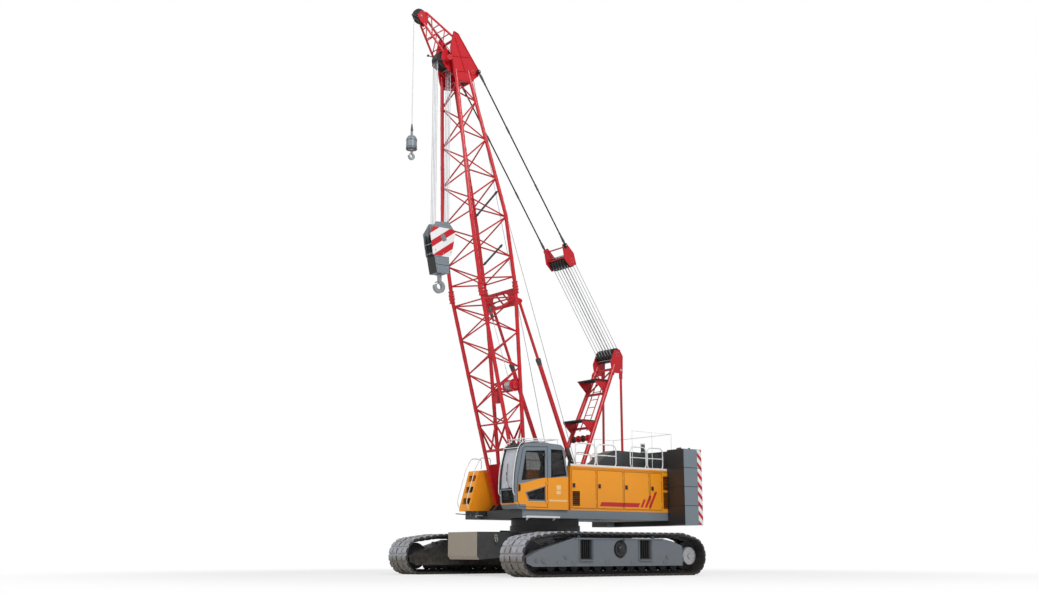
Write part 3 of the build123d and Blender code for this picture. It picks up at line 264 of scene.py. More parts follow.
class Wire:
    __add__ = __radd__ = operator("ADD")
    __sub__, __rsub__ = operator("SUBTRACT"), operator("SUBTRACT", True)
    __mul__ = __rmul__ = operator("MULTIPLY")
    __truediv__, __rtruediv__ = operator("DIVIDE"), operator("DIVIDE", True)
    __pow__, __mod__ = operator("POWER"), operator("FLOORED_MODULO")
    __gt__, __lt__ = operator("GREATER_THAN"), operator("LESS_THAN")
    larger, smaller = operator("MAXIMUM"), operator("MINIMUM")

    def __init__(self, paint, socket):
        self.paint = paint
        self.socket = socket

    def maths(self, operation, *values):
        return self.paint.add("ShaderNodeMath", {"operation": operation}, values)

    def __abs__(self):
        return self.maths("ABSOLUTE", self)

    def eased(self, low, high):  # 0 below low, 1 above high, smooth between; low may be above high
        smooth = {"interpolation_type": "SMOOTHSTEP"}
        return self.paint.add("ShaderNodeMapRange", smooth, (self, low, high, 0.0, 1.0))

    def wave(self, step):  # sine of the value times the step
        return self.maths("SINE", self * step)


class Nodes:
    def __init__(self, tree):
        self.tree = tree

    def add(self, kind, settings=None, sockets=(), out=0):
        # a node of any type: settings first, then the values or links of its sockets
        node = self.tree.nodes.new(kind)
        for key, value in (settings or {}).items():
            setattr(node, key, value)
        pairs = sockets.items() if isinstance(sockets, dict) else enumerate(sockets)
        for key, value in pairs:
            if isinstance(value, Wire):
                self.tree.links.new(value.socket, node.inputs[key])
            else:
                node.inputs[key].default_value = value
        return Wire(self, node.outputs[out])


class Paint(Nodes):
    def __init__(self, name, **constants):
        self.material = bpy.data.materials.new(name)
        self.material.use_nodes = True
        super().__init__(self.material.node_tree)
        self.shader = self.tree.nodes["Principled BSDF"]
        self.sheet = self.tree.nodes["Material Output"]
        for socket, value in constants.items():
            self.shader.inputs[socket.replace("_", " ")].default_value = value
        at = self.add("ShaderNodeTexCoord", {}, {}, "Object")
        self.at = at
        self.x, self.y, self.z = self.apart(at)
        self.facing = self.apart(self.add("ShaderNodeNewGeometry", {}, {}, "Normal"))

    def apart(self, wire):
        split = self.add("ShaderNodeSeparateXYZ", {}, (wire,)).socket.node
        return [Wire(self, split.outputs[k]) for k in range(3)]

    def noise(self, scale, detail, rough, stretch=None):
        at = self.at
        if stretch:
            at = self.add("ShaderNodeMapping", {}, {"Vector": at, "Scale": stretch})
        sockets = {"Vector": at, "Scale": scale, "Detail": detail, "Roughness": rough}
        return self.add("ShaderNodeTexNoise", {}, sockets)

    def blendColours(self, mask, first, second):
        first, second = [tone if isinstance(tone, Wire) else (*tone, 1) for tone in (first, second)]
        return self.add("ShaderNodeMix", {"data_type": "RGBA"}, {0: mask, 6: first, 7: second}, 2)

    def shade(self, colour, amount):  # a colour made lighter or darker by a factor
        return self.add("ShaderNodeVectorMath", {"operation": "SCALE"}, {0: colour, "Scale": amount})

    def bump(self, height, strength, distance):
        return self.add("ShaderNodeBump", {}, {"Height": height, "Strength": strength, "Distance": distance})

    def done(self, **links):
        for socket, value in links.items():
            target = self.shader.inputs[socket.replace("_", " ")]
            if isinstance(value, Wire):
                self.tree.links.new(value.socket, target)
            else:
                target.default_value = value
        return self.material


def linear(red, green, blue):  # a colour as it looks on screen, 0 to 255, turned into linear light
    seen = np.array([red, green, blue]) / 255
    return tuple(float(v) for v in np.where(seen <= 0.04045, seen / 12.92, ((seen + 0.055) / 1.055) ** 2.4))


colours = {
    "orange": linear(254, 163, 32),
    "red": linear(195, 17, 33),
    "slate": linear(122, 133, 142),
    "charcoal": linear(62, 64, 67),
    # pale taupe: painted light on the ballast's front face
    "litTaupe": linear(158, 148, 134),
    # near black: painted shade on the shoe ends, the frames' inner faces, the step openings and the
    # counterweight fronts; also the dark block fronts and strut ends
    "nearBlackAndShade": linear(40, 38, 38),
    # painted shade for the inside faces of the cab
    "cabInsideShade": linear(46, 46, 48),
    # painted shade for the louvres
    "vent": linear(128, 74, 18),
    "soil": linear(104, 92, 70),
    "frame": linear(104, 112, 120),
    "white": linear(236, 238, 238),
    "shoe": linear(168, 172, 182),
    "bare": linear(186, 187, 190),
    "rust": linear(120, 74, 44),
    "dust": linear(176, 164, 146),
    "black": linear(34, 35, 37),
    "grease": linear(28, 26, 24),
    "hook": linear(165, 170, 172),
    "rope": linear(196, 200, 204),
    "band": linear(205, 36, 32),
    "cream": linear(250, 214, 150),
}


def weathered(paint, colour, dust=0.25, grime=0.3, chips=0.25, rough=0.38, grimeTop=2.0):
    # paint drift + dust lying on upward faces + grime rising from the ground + small chips to bare metal
    drift = paint.noise(0.55, 5.0, 0.6)
    mottle = paint.noise(7.0, 6.0, 0.62)
    fine = paint.noise(60.0, 3.0, 0.5)
    streaks = paint.noise(3.2, 5.0, 0.6, (3.0, 3.0, 0.35))
    colour = paint.shade(colour, 0.93 + drift * 0.1 + mottle * 0.05)
    up = paint.facing[2].eased(0.35, 0.95)
    dustMask = (up * mottle.eased(0.35, 0.75) * dust).smaller(1.0)
    low = paint.z.eased(grimeTop, 0.0)
    grimeMask = ((low * 0.8 + streaks.eased(0.55, 0.8) * 0.35) * mottle.eased(0.3, 0.8) * grime).smaller(1.0)
    chipMask = (mottle.eased(0.68, 0.72) * fine.eased(0.5, 0.56)) * chips
    colour = paint.blendColours(dustMask, colour, colours["dust"])
    colour = paint.blendColours(grimeMask, colour, tuple(0.55 * c for c in colours["dust"]))
    colour = paint.blendColours(chipMask, colour, tuple(0.5 * c for c in colours["bare"]))
    roughness = (rough + dustMask * 0.4 + grimeMask * 0.35 + mottle * 0.08 - chipMask * 0.1).smaller(0.95)
    height = fine * 0.25 + mottle * 0.4 - chipMask * 0.6
    return paint.done(
        Base_Color=colour,
        Roughness=roughness,
        Coat_Weight=((1 - dustMask) * (1 - grimeMask) * 0.2).larger(0.0),
        Normal=paint.bump(height, 0.12, 0.004),
    )


def plainPaint(name, tint, **wear):
    paint = Paint(name, Coat_Roughness=0.12)
    return weathered(paint, colours[tint], **wear)


def twoTone(paint, mask, first, second, **wear):  # one colour, and another where the mask is 1
    return weathered(paint, paint.blendColours(mask, colours[first], colours[second]), **wear)


def bandMask(value, low, high, soft=0.004):  # 1 between low and high
    return value.eased(low - soft, low + soft) * value.eased(high + soft, high - soft)


def housePaint():
    # orange panels; a plain red band low on the doors that ends in three slanted bars
    band = {"low": 2.17, "high": 2.31, "front": -1.05, "rear": -2.75, "lean": 0.55, "bar": 0.11, "gap": 0.19}
    rows = [(-4.345, -3.89, low, high, side) for low, high in ((2.15, 2.7), (2.76, 3.24)) for side in (1, -1)]
    rows += [(-0.22, 0.09, 2.16, 2.63, 1), (0.66, 0.97, 2.16, 2.63, -1)]  # rear, front, bottom, top, side
    paint = Paint("houseOrange", Coat_Roughness=0.12)
    lean = paint.x + (paint.z - band["low"]) * band["lean"]
    flat = bandMask(paint.z, band["low"], band["high"]) * bandMask(lean, band["rear"], band["front"])
    bars = 0.0
    for step in range(1, 4):
        start = band["rear"] - step * band["gap"]
        upright = bandMask(paint.z, band["low"], band["high"] + 0.13 * step)
        bars = bandMask(lean, start, start + band["bar"]) * upright + bars
    outside = abs(paint.y).eased(1.535, 1.545)
    colour = paint.blendColours(((flat + bars) * outside).smaller(1.0), colours["orange"], colours["band"])
    # painted shade over the louvres: darker orange patches where the air goes in
    vents = 0.0  # darker patches where the air goes in
    for rear, front, low, high, side in rows:
        place = bandMask(paint.x, rear, front) * bandMask(paint.z, low, high)
        vents = place * ((paint.y * side) > 0.0) + vents
    colour = paint.blendColours(vents.smaller(1.0) * abs(paint.y).eased(1.5, 1.505), colour, colours["vent"])
    return weathered(paint, colour, dust=0.3, grime=0.16, chips=0.12, rough=0.33, grimeTop=2.6)


def cabPaint():
    # grey-blue above the belt line and round the front, orange below it: the line rises to the rear
    belt = ((2.42, 2.77), (1.15, 3.0), (0.3, 3.06))  # x, z
    centre = (1.35, 1.216, 3.05)
    paint = Paint("cabTwoTone", Coat_Roughness=0.1)
    rise = 0.0
    for (x0, z0), (x1, z1) in zip(belt, belt[1:]):
        rise = paint.x.eased(x0, x1) * (z1 - z0) + rise
    above = (paint.z - (rise + belt[0][1])).eased(-0.004, 0.004)
    low = paint.z.eased(2.165, 2.155)
    nose = paint.x.eased(2.32, 2.34) * paint.z.eased(2.215, 2.225)
    grey = above.larger(low * paint.x.eased(2.0, 2.01)).larger(nose)
    colour = paint.blendColours(grey, colours["orange"], colours["slate"])
    # painted shade inside the cab: dark where the normal points back to the middle of the cab
    away = [here - middle for here, middle in zip((paint.x, paint.y, paint.z), centre)]
    shadedInward = (paint.facing[0] * away[0] + paint.facing[1] * away[1] + paint.facing[2] * away[2]) < 0.0
    colour = paint.blendColours(shadedInward, colour, colours["cabInsideShade"])
    return weathered(paint, colour, dust=0.25, grime=0.12, chips=0.1, rough=0.32, grimeTop=2.4)


def blockPaint():
    # white cheeks crossed by red slanted bands, grey above them and grey weights below
    values = {"pitch": 0.5, "width": 0.23, "start": 0.08, "low": 9.985, "high": 10.93, "slope": 0.7}
    paint = Paint("blockStriped", Coat_Roughness=0.15)
    phase = (paint.z + paint.x * values["slope"] + values["start"]) % values["pitch"]
    stripes = bandMask(phase, 0.1, 0.1 + values["width"])
    outer = abs(paint.y).eased(0.205, 0.215) * bandMask(paint.z, values["low"], values["high"], 0.006)
    base = paint.blendColours(paint.facing[0].eased(0.6, 0.7), colours["slate"], colours["nearBlackAndShade"])
    base = paint.blendColours(outer, base, colours["white"])
    colour = paint.blendColours(stripes * outer, base, colours["red"])
    return weathered(paint, colour, dust=0.2, grime=0.25, chips=0.5, rough=0.4, grimeTop=2.0)


def hazardPaint():
    # slanted red and white bands that fall towards the rear and go on round the corner
    band = {"pitch": 0.325, "width": 0.15}
    paint = Paint("hazardBands", Coat_Roughness=0.15)
    phase = (paint.z - paint.x - abs(paint.y)) % band["pitch"]
    stripes = bandMask(phase, 0.0, band["width"], 0.003)
    return twoTone(paint, stripes, "white", "red", dust=0.12, grime=0.15, chips=0.1, rough=0.36)


def ballastPaint():
    # a cast block: the faces turned forward and back painted pale taupe as painted light, the flanks charcoal
    # as painted shade under the house
    paint = Paint("ballastCast", Coat_Roughness=0.3)
    front = abs(paint.facing[0]).eased(0.6, 0.7)
    return twoTone(paint, front, "charcoal", "litTaupe", dust=0.3, grime=0.35, chips=0.3, rough=0.55)


def deckPaint():
    # grey along the deck's edges, dark everywhere below and between
    paint = Paint("deckTwoTone", Coat_Roughness=0.2)
    edge = abs(paint.y).eased(1.5, 1.51) * abs(paint.facing[1]).eased(0.6, 0.7)
    wear = {"dust": 0.3, "grime": 0.25, "chips": 0.2, "rough": 0.45, "grimeTop": 2.2}
    return twoTone(paint, edge, "charcoal", "slate", **wear)


def slabPaint():
    # grey flanks and top, and painted shade on the front face in the gap behind the houses
    paint = Paint("slabGrey", Coat_Roughness=0.2)
    front = paint.facing[0].eased(0.6, 0.7)
    return twoTone(paint, front, "slate", "nearBlackAndShade", dust=0.25, grime=0.2, chips=0.15, rough=0.45, grimeTop=2.2)


def strutPaint():
    # red tubes with dark lower ends
    paint = Paint("strutRed", Coat_Roughness=0.12)
    dark = paint.z.eased(4.1, 4.02)
    return twoTone(paint, dark, "red", "nearBlackAndShade", dust=0.15, grime=0.1, chips=0.15, rough=0.36)


def wornShoes():
    # cast shoes: bright where they wear, painted shade on the ends and the inner side, brown soil on the
    # lower half of the wraps
    values = {"front": 2.7, "rear": -2.85, "middle": 0.68, "soilTop": 0.7, "soilLow": 0.4}
    paint = Paint("shoeWorn", Metallic=0.3)
    mottle = paint.noise(9.0, 7.0, 0.65)
    pits = paint.noise(45.0, 5.0, 0.6)
    stain = paint.noise(2.2, 5.0, 0.6)
    # outward = normal . (away from the nearest point of the loop's middle line)
    awayX = paint.x - paint.x.larger(values["rear"]).smaller(values["front"])
    outward = (paint.facing[0] * awayX + paint.facing[2] * (paint.z - values["middle"])).eased(0.02, 0.2)
    colour = paint.blendColours(mottle.eased(0.3, 0.7), colours["shoe"], colours["bare"])
    colour = paint.blendColours(stain.eased(0.5, 0.75) * 0.35, colour, colours["rust"])
    soil = paint.z.eased(values["soilTop"], values["soilLow"]) * (0.5 + mottle * 0.5)
    colour = paint.blendColours(soil.smaller(0.85), colour, colours["soil"])
    # painted shade on faces turned across the track and into the loop
    dark = (abs(paint.facing[1]).eased(0.5, 0.8)).larger(1 - outward)
    colour = paint.blendColours(dark * 0.9, colour, colours["nearBlackAndShade"])
    return paint.done(
        Base_Color=colour,
        Roughness=0.45 + pits * 0.3 + stain * 0.1,
        Normal=paint.bump(pits * 0.5 + mottle * 0.5, 0.35, 0.008),
    )


def metalPaint(name, tint, metallic, rough, stain, grain=40.0, relief=0.15):
    # bare metal: cloudy roughness, light staining, fine grain
    paint = Paint(name, Metallic=metallic)
    cloud = paint.noise(5.0, 6.0, 0.6)
    fine = paint.noise(grain, 4.0, 0.55)
    colour = paint.shade(colours[tint], 0.85 + cloud * 0.3)
    colour = paint.blendColours(cloud.eased(0.55, 0.75) * stain, colour, colours["grease"])
    dull = rough + cloud * 0.2 + fine * 0.1
    return paint.done(Base_Color=colour, Roughness=dull, Normal=paint.bump(fine, relief, 0.003))


def ropePaint(name, tint, pitch=0.16, across=0.022):
    # wire rope: slanted strands from a wave that runs along and round the rope
    paint = Paint(name, Metallic=0.6)
    run = (paint.z + paint.x * 0.55) / pitch
    strand = (run + (paint.y + paint.x * 0.3) / across * 0.5) % 0.25
    # painted shade between the strands: the crowns keep the rope colour, the grooves drop to 0.55 of it
    dark = strand.eased(0.0, 0.06) * strand.eased(0.25, 0.19)
    cloud = paint.noise(3.0, 4.0, 0.6)
    colour = paint.blendColours(dark, tuple(0.55 * c for c in colours[tint]), colours[tint])
    colour = paint.blendColours(cloud.eased(0.55, 0.8) * 0.3, colour, colours["grease"])
    return paint.done(Base_Color=colour, Roughness=0.45 + cloud * 0.15, Normal=paint.bump(dark, 0.4, 0.003))


def glassPaint():
    # tinted side panes and a windscreen painted pale as a painted reflection, with a faint film of dust that
    # gathers low on each
    paint = Paint("tintedGlass", IOR=1.45, Transmission_Weight=0.0, Metallic=0.0)
    film = paint.noise(6.0, 5.0, 0.6)
    low = paint.z.eased(3.3, 2.6)
    # painted reflection: glass facing forward above the sill turns pale and less clear
    front = paint.facing[0].eased(0.5, 0.7) * paint.z.eased(2.6, 2.62)
    dust = film.eased(0.45, 0.8) * (0.05 + low * 0.08)
    clear = (0.4 + dust * 2.0 + front * 0.4).smaller(0.92)
    colour = paint.blendColours(dust * 2.0, linear(20, 22, 24), linear(140, 142, 140))
    colour = paint.blendColours(front, colour, linear(206, 208, 216))
    return paint.done(Base_Color=colour, Roughness=0.03 + dust, Alpha=clear)


def framePaint():
    # grey outside, with painted shade on the faces turned to the middle of the machine
    paint = Paint("frameGrey", Coat_Roughness=0.25)
    inner = abs(paint.y).eased(2.9, 2.88)
    return twoTone(paint, inner, "frame", "nearBlackAndShade", dust=0.4, grime=0.55, chips=0.5, rough=0.5, grimeTop=1.4)


def accessPaint():
    # orange steps, with painted shade inside their openings
    values = {"half": 0.2, "middle": -1.25}
    paint = Paint("accessOrange", Coat_Roughness=0.12)
    shadedInside = abs(paint.y - values["middle"]).eased(values["half"] + 0.012, values["half"] + 0.006)
    shadedOpening = shadedInside * paint.x.eased(1.9, 1.93) * ((paint.x + paint.z * 0.3043) < 2.975)
    colour = paint.blendColours(shadedOpening, colours["orange"], colours["nearBlackAndShade"])
    return weathered(paint, colour, dust=0.3, grime=0.2, chips=0.15, rough=0.35, grimeTop=2.6)


def rubberPaint():
    paint = Paint("rubberBlack")
    cloud = paint.noise(6.0, 5.0, 0.6)
    fine = paint.noise(70.0, 3.0, 0.5)
    colour = paint.shade(colours["black"], 0.8 + cloud * 0.5)
    film = paint.facing[2].eased(0.5, 1.0) * cloud.eased(0.4, 0.7) * 0.25
    colour = paint.blendColours(film, colour, colours["dust"])
    relief = paint.bump(fine + cloud, 0.2, 0.003)
    return paint.done(Base_Color=colour, Roughness=0.62 + cloud * 0.2, Normal=relief)


def greasedPaint():
    # black sheaves: moulded nylon, polished and greasy in the grooves
    paint = Paint("sheaveNylon")
    cloud = paint.noise(8.0, 5.0, 0.6)
    fine = paint.noise(50.0, 4.0, 0.5)
    colour = paint.blendColours(cloud.eased(0.4, 0.7), colours["black"], colours["grease"])
    return paint.done(Base_Color=colour, Roughness=0.32 + cloud * 0.3, Normal=paint.bump(fine, 0.12, 0.002))


def fabricPaint():
    # woven cover: two crossed fine waves
    paint = Paint("seatCloth", Sheen_Weight=0.3)
    weave = paint.x.wave(900) * (paint.z + paint.y).wave(900)
    cloud = paint.noise(9.0, 5.0, 0.6)
    colour = paint.shade(linear(52, 54, 58), 0.8 + cloud * 0.4 + weave * 0.08)
    return paint.done(Base_Color=colour, Roughness=0.85 + cloud * 0.1, Normal=paint.bump(weave, 0.3, 0.001))


def lensPaint(name, colour):
    paint = Paint(name, IOR=1.5, Coat_Weight=0.6)
    ridges = paint.z.wave(260)
    cloud = paint.noise(20.0, 4.0, 0.6)
    return paint.done(
        Base_Color=paint.shade(colour, 0.85 + cloud * 0.3 + ridges * 0.06),
        Roughness=0.08 + cloud * 0.1,
        Normal=paint.bump(ridges, 0.2, 0.002),
    )


paints = {
    "house": housePaint(),
    "cab": cabPaint(),
    "orange": accessPaint(),
    "red": plainPaint("boomRed", "red", dust=0.18, grime=0.1, chips=0.16, rough=0.34),
    "slate": plainPaint("slateGrey", "slate", dust=0.3, grime=0.2, chips=0.15, rough=0.42, grimeTop=2.2),
    "frameSlate": framePaint(),
    "charcoal": plainPaint("chassisDark", "charcoal", dust=0.35, grime=0.35, chips=0.25, rough=0.5),
    "white": plainPaint("railWhite", "white", dust=0.15, grime=0.12, chips=0.2, rough=0.35),
    "black": plainPaint("trimDark", "black", dust=0.3, grime=0.15, chips=0.2, rough=0.45),
    "ballast": ballastPaint(),
    "deck": deckPaint(),
    "slab": slabPaint(),
    "strut": strutPaint(),
    "cream": plainPaint("trimCream", "cream", dust=0.15, grime=0.1, chips=0.1, rough=0.35),
    "block": blockPaint(),
    "hazard": hazardPaint(),
    "shoes": wornShoes(),
    "rollers": metalPaint("rollerCast", "charcoal", 0.6, 0.5, 0.6, 30.0, 0.3),
    "steel": metalPaint("steelBright", "bare", 0.9, 0.28, 0.2),
    "hook": metalPaint("hookForged", "hook", 0.75, 0.34, 0.25, 24.0, 0.3),
    "rope": ropePaint("ropeWire", "rope"),
    "pendant": ropePaint("ropeGreased", "black", 0.2, 0.05),
    "sheave": greasedPaint(),
    "glass": glassPaint(),
    "rubber": rubberPaint(),
    "cloth": fabricPaint(),
    "lampLens": lensPaint("lampClear", linear(232, 236, 240)),
}
print("paints mixed,", len(paints))

nodePaints = {
    "house": ["left_house", "right_house", "left_service_door_", "right_service_door_"],
    "cab": ["cab_shell", "cab_door"],
    "orange": ["access_steps"],
    "red": ["gantry", "boom_foot_section", "boom_top_section", "tip_jib", "bridle", "backstop_rods"],
    "strut": ["backstop_tubes"],
    "deck": ["turntable"],
    "slab": ["counterweight_slab_"],
    "slate": ["auxiliary_weight", "main_winch_drum", "auxiliary_winch_drum", "luffing_winch_drum"],
    "frameSlate": ["track_frame_", "track_tensioners"],
    # the carbody takes the dark chassis paint as painted shade under the house
    "charcoal": ["carbody", "engine", "engine_hood"],
    "ballast": ["carbody_ballast"],
    "white": ["handrails", "cab_roof_rails"],
    "block": ["main_block"],
    "shoes": ["track_left", "track_right"],
    "rollers": ["track_wheels"],
    "hook": ["main_hook", "auxiliary_hook"],
    "rope": ["main_hoist_falls", "auxiliary_hoist_rope", "hoist_ropes", "luffing_ropes"],
    "pendant": ["pendants"],
    "sheave": ["main_sheaves", "guide_sheaves", "tip_sheave", "block_sheaves", "bridle_sheaves",
               "gantry_sheaves"],
    "glass": ["cab_glass", "door_glass"],
    "black": ["gantry_platforms", "control_consoles", "side_frame_pin_units"],
    "cloth": ["operator_seat"],
}
for paintName, nodes in nodePaints.items():
    for name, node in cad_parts.items():
        if any(name == n or (n.endswith("_") and name.startswith(n)) for n in nodes):
            node.data.materials.clear()
            node.data.materials.append(paints[paintName])
print("nodes painted")

# shapes that several pieces share


def rod(start, end, radius, sides=8):  # a straight round bar between two points
    return pipe([start, end], radius, sides)


def crossBar(place, half, radius, sides=8):  # a round bar across the machine at (x, z), y from -half to half
    x, z = place
    return rod((x, -half, z), (x, half, z), radius, sides)


def tapered(path, radii, sides):  # a round bar whose radius changes along its path
    return sweep(path, circle(1.0, sides), (0, 1, 0), scale=radii)


def strip(path, halfWide, halfDeep, closed=False):  # a rectangle carried along a path
    corners = [(-halfWide, -halfDeep), (halfWide, -halfDeep), (halfWide, halfDeep), (-halfWide, halfDeep)]
    return sweep(path, corners, (0, 1, 0), closed)


def atSide(outline, y):  # rows of (x, z) stood up at one y
    outline = np.asarray(outline, float)
    return placed(outline[:, 0], outline[:, 1], y, "y")


def bead(outline, y, radius, sides=8):  # a round seal that follows an outline in X and Z
    return pipe(atSide(outline, y), radius, sides, (0, 1, 0), closed=True)


def rectangle(x, z, halfLong, halfHigh):  # corners about a middle
    left, right = x - halfLong, x + halfLong
    return [(left, z - halfHigh), (right, z - halfHigh), (right, z + halfHigh), (left, z + halfHigh)]


def about(centre, reach, angle):  # (x, z) at a distance and an angle round a pin
    return centre[0] + reach * math.cos(angle), centre[1] + reach * math.sin(angle)


def moved(part, shift):
    return part[0] + np.asarray(shift, float), part[1], part[2]


def hexBolts(centre, ring, count, across, height, axis="y", out=1):
    # bolt heads at equal steps round a ring
    turn = np.linspace(0, 2 * np.pi, count, endpoint=False)
    places = placed(ring * np.cos(turn), ring * np.sin(turn), 0 * turn, axis) + np.asarray(centre, float)
    return boltHeads(places, across, height, axis, out)


def liftingEye(x, feet, bow, low, high, steps):
    # plate with two foot corners (half width, z) under half an ellipse (reach, z, rise)
    arc = [(x + bow[0] * math.cos(t), bow[1] + bow[2] * math.sin(t)) for t in np.linspace(0, math.pi, steps)]
    return slab([(x + feet[0], feet[1]), *arc, (x - feet[0], feet[1])], low, high, "y", 0.004)


def sleeve(start, end, inner, outer, sides=24, edge=0.004):
    # hollow ring round a line: point = start + along * way + radius * (cos t side + sin t rise)
    start, end = np.asarray(start, float), np.asarray(end, float)
    length = np.linalg.norm(end - start)
    way = unit(end - start)
    side = unit(np.cross(way, steepAxis([start, end])))
    rise = np.cross(way, side)
    turn = np.linspace(0, 2 * np.pi, sides, endpoint=False)
    rows = [(inner, 0), (outer - edge, 0), (outer, edge)]
    rows = np.array(rows + [(radius, length - along) for radius, along in rows[::-1]])[:, None]
    ring = np.cos(turn)[:, None] * side + np.sin(turn)[:, None] * rise
    return gridPart(start + rows[..., 1:] * way + rows[..., :1] * ring, wrapRows=True)


# places along the lattice boom, as the part's own frame of it
boomFoot = np.array([1.36, 0.0, 2.1])
boomTurn = math.radians(80.5)
boomUp = np.array([math.cos(boomTurn), 0.0, math.sin(boomTurn)])
boomOut = np.array([math.sin(boomTurn), 0.0, -math.cos(boomTurn)])
acrossWay = np.array([0.0, 1.0, 0.0])


def onBoom(along, across, forward):
    along, across, forward = [part[..., None] for part in np.broadcast_arrays(along, across, forward)]
    return boomFoot + along * boomUp + forward * boomOut + across * acrossWay


# undercarriage

track = {
    "side": 3.14, "count": 64, "linkHalf": 0.13, "linkWidth": 0.07, "pinRadius": 0.03, "recess": 0.02,
    "circles": ((3.13, 0.6, 0.6), (2.27, 0.815, 0.5), (-2.62, 0.815, 0.5), (-3.07, 0.6, 0.6)),  # x, z, radius
    # along / pitch, outward, share of the recess that it takes
    "profile": ((-0.46, -0.075, 0), (-0.455, -0.034, 0.3), (-0.34, 0.0, 1), (0.24, 0.0, 1),
                (0.34, -0.022, 0.5), (0.43, -0.046, 0.2), (0.44, -0.075, 0), (0.0, -0.078, 0)),
    # across, how far the face drops there in recesses: the pads stay high between the hollows
    "pads": ((0.06, 1.4), (0.075, 0), (0.24, 0), (0.26, 1), (0.315, 1), (0.335, 0), (0.535, 0), (0.55, 1)),
    "link": ((-0.5, -0.07), (0.5, -0.07), (0.47, -0.15), (0.3, -0.168), (-0.3, -0.168), (-0.47, -0.15)),
    "guide": ((-0.2, -0.07), (0.2, -0.07), (0.12, -0.135), (-0.12, -0.135)),
    "bolts": (0.2, 0.29, -0.021, 0.034, 0.014),  # along / pitch, across, outward, head, height
}


def beltTable(circles, steps=400):
    # tangent lines join neighbouring circles: normal angle = heading - acos((r1 - r2) / distance)
    x, z, r = np.asarray(circles, float).T
    dx, dz = np.roll(x, -1) - x, np.roll(z, -1) - z
    leave = np.arctan2(dz, dx) - np.arccos((r - np.roll(r, -1)) / np.hypot(dx, dz))
    arrive = np.roll(leave, 1)
    span = (leave - arrive) % (2 * np.pi)
    turn = arrive[:, None] + span[:, None] * np.linspace(0, 1, steps)
    x, z, r = x[:, None], z[:, None], r[:, None]
    path = np.stack([x + r * np.cos(turn), z + r * np.sin(turn)], -1).reshape(-1, 2)
    path = np.concatenate([path, path[:1]])
    return path, np.concatenate([[0], np.cumsum(np.linalg.norm(np.diff(path, axis=0), axis=1))])


def alongBelt(table, distance):
    path, travelled = table
    distance = np.mod(distance, travelled[-1])
    return np.stack([np.interp(distance, travelled, path[:, k]) for k in range(2)], -1)


def beltCopies(part, table, pitch, count, side):
    # a part drawn as (along, across, outward) is carried to every shoe, whose frame is a chord of the belt
    centres = (np.arange(count) + 0.5) * pitch
    first, last = alongBelt(table, centres - 0.3 * pitch), alongBelt(table, centres + 0.3 * pitch)
    middle, run = (first + last) / 2, unit(last - first)
    out = np.stack([run[:, 1], -run[:, 0]], -1)
    points = part[0]
    carried = middle[:, None] + points[:, :1] * run[:, None] + points[:, 2:] * out[:, None]
    return copied(part, placed(carried[..., 0], carried[..., 1], points[:, 1] + side, "y"))


table = beltTable(track["circles"])
pitch = table[1][-1] / track["count"]
profile, pads = np.array(track["profile"]), np.array(track["pads"])
across = np.concatenate([-pads[::-1, 0], pads[:, 0]])[:, None]
drop = np.concatenate([pads[::-1, 1], pads[:, 1]])[:, None] * track["recess"]
plate = np.stack(np.broadcast_arrays(profile[:, 0] * pitch, across, profile[:, 1] - drop * profile[:, 2]), -1)
link, guide = [[(share * pitch, out) for share, out in track[name]] for name in ("link", "guide")]
shoeParts = [gridPart(plate), slab(guide, -0.04, 0.04, "y", 0.01)]
for sideSign in (1, -1):
    low = sideSign * track["linkHalf"] - track["linkWidth"] / 2
    shoeParts.append(slab(link, low, low + track["linkWidth"], "y", 0.008))
shoeParts.append(rod((-0.36 * pitch, -0.178, -0.118), (-0.36 * pitch, 0.178, -0.118), track["pinRadius"], 10))
boltAlong, boltAcross, boltOut, *boltSize = track["bolts"]
boltPlaces = [(i * boltAlong * pitch, j * boltAcross, boltOut) for i in (-1, 1) for j in (-1, 1)]
shoeParts.append(boltHeads(boltPlaces, *boltSize, "z"))
shoe = joined(*[facesOut(p) for p in shoeParts])
for sideName, sideSign in (("left", 1), ("right", -1)):
    loop = beltCopies(shoe, table, pitch, track["count"], sideSign * track["side"])
    piece = makePiece("trackShoes_" + sideName, [loop], "shoes", "undercarriage")
    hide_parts("track_" + sideName)
print("track shoes laid,", track["count"], "a side")

gear = {
    "rollerX": -2.52, "rollerPitch": 0.45, "rollers": 12, "rollerZ": 0.3, "face": 3.366, "drive": (3.13, 0.6),
    "cap": ((0.082, 0), (0.082, 0.012), (0.06, 0.02), (0.022, 0.022), (0.022, 0.03)),  # radius, along
    "hub": ((0.16, 0), (0.16, 0.02), (0.14, 0.032), (0.06, 0.036), (0.05, 0.05)),
}
gearParts = []
for x in gear["rollerX"] + gear["rollerPitch"] * np.arange(gear["rollers"]):
    # grease cap on an axle
    gearParts.append(turned(gear["cap"], (x, gear["face"], gear["rollerZ"]), "y", 14))
    gearParts.append(hexBolts((x, gear["face"] + 0.012, gear["rollerZ"]), 0.066, 3, 0.018, 0.008))
hubX, hubZ = gear["drive"]
gearParts.append(turned(gear["hub"], (hubX, gear["face"] + 0.014, hubZ), "y", 28))
gearParts.append(hexBolts((hubX, gear["face"] + 0.036, hubZ), 0.12, 12, 0.026, 0.014))
makePiece("rollerCaps", [bothSides(*gearParts)], "rollers", "undercarriage")
print("roller caps fitted")

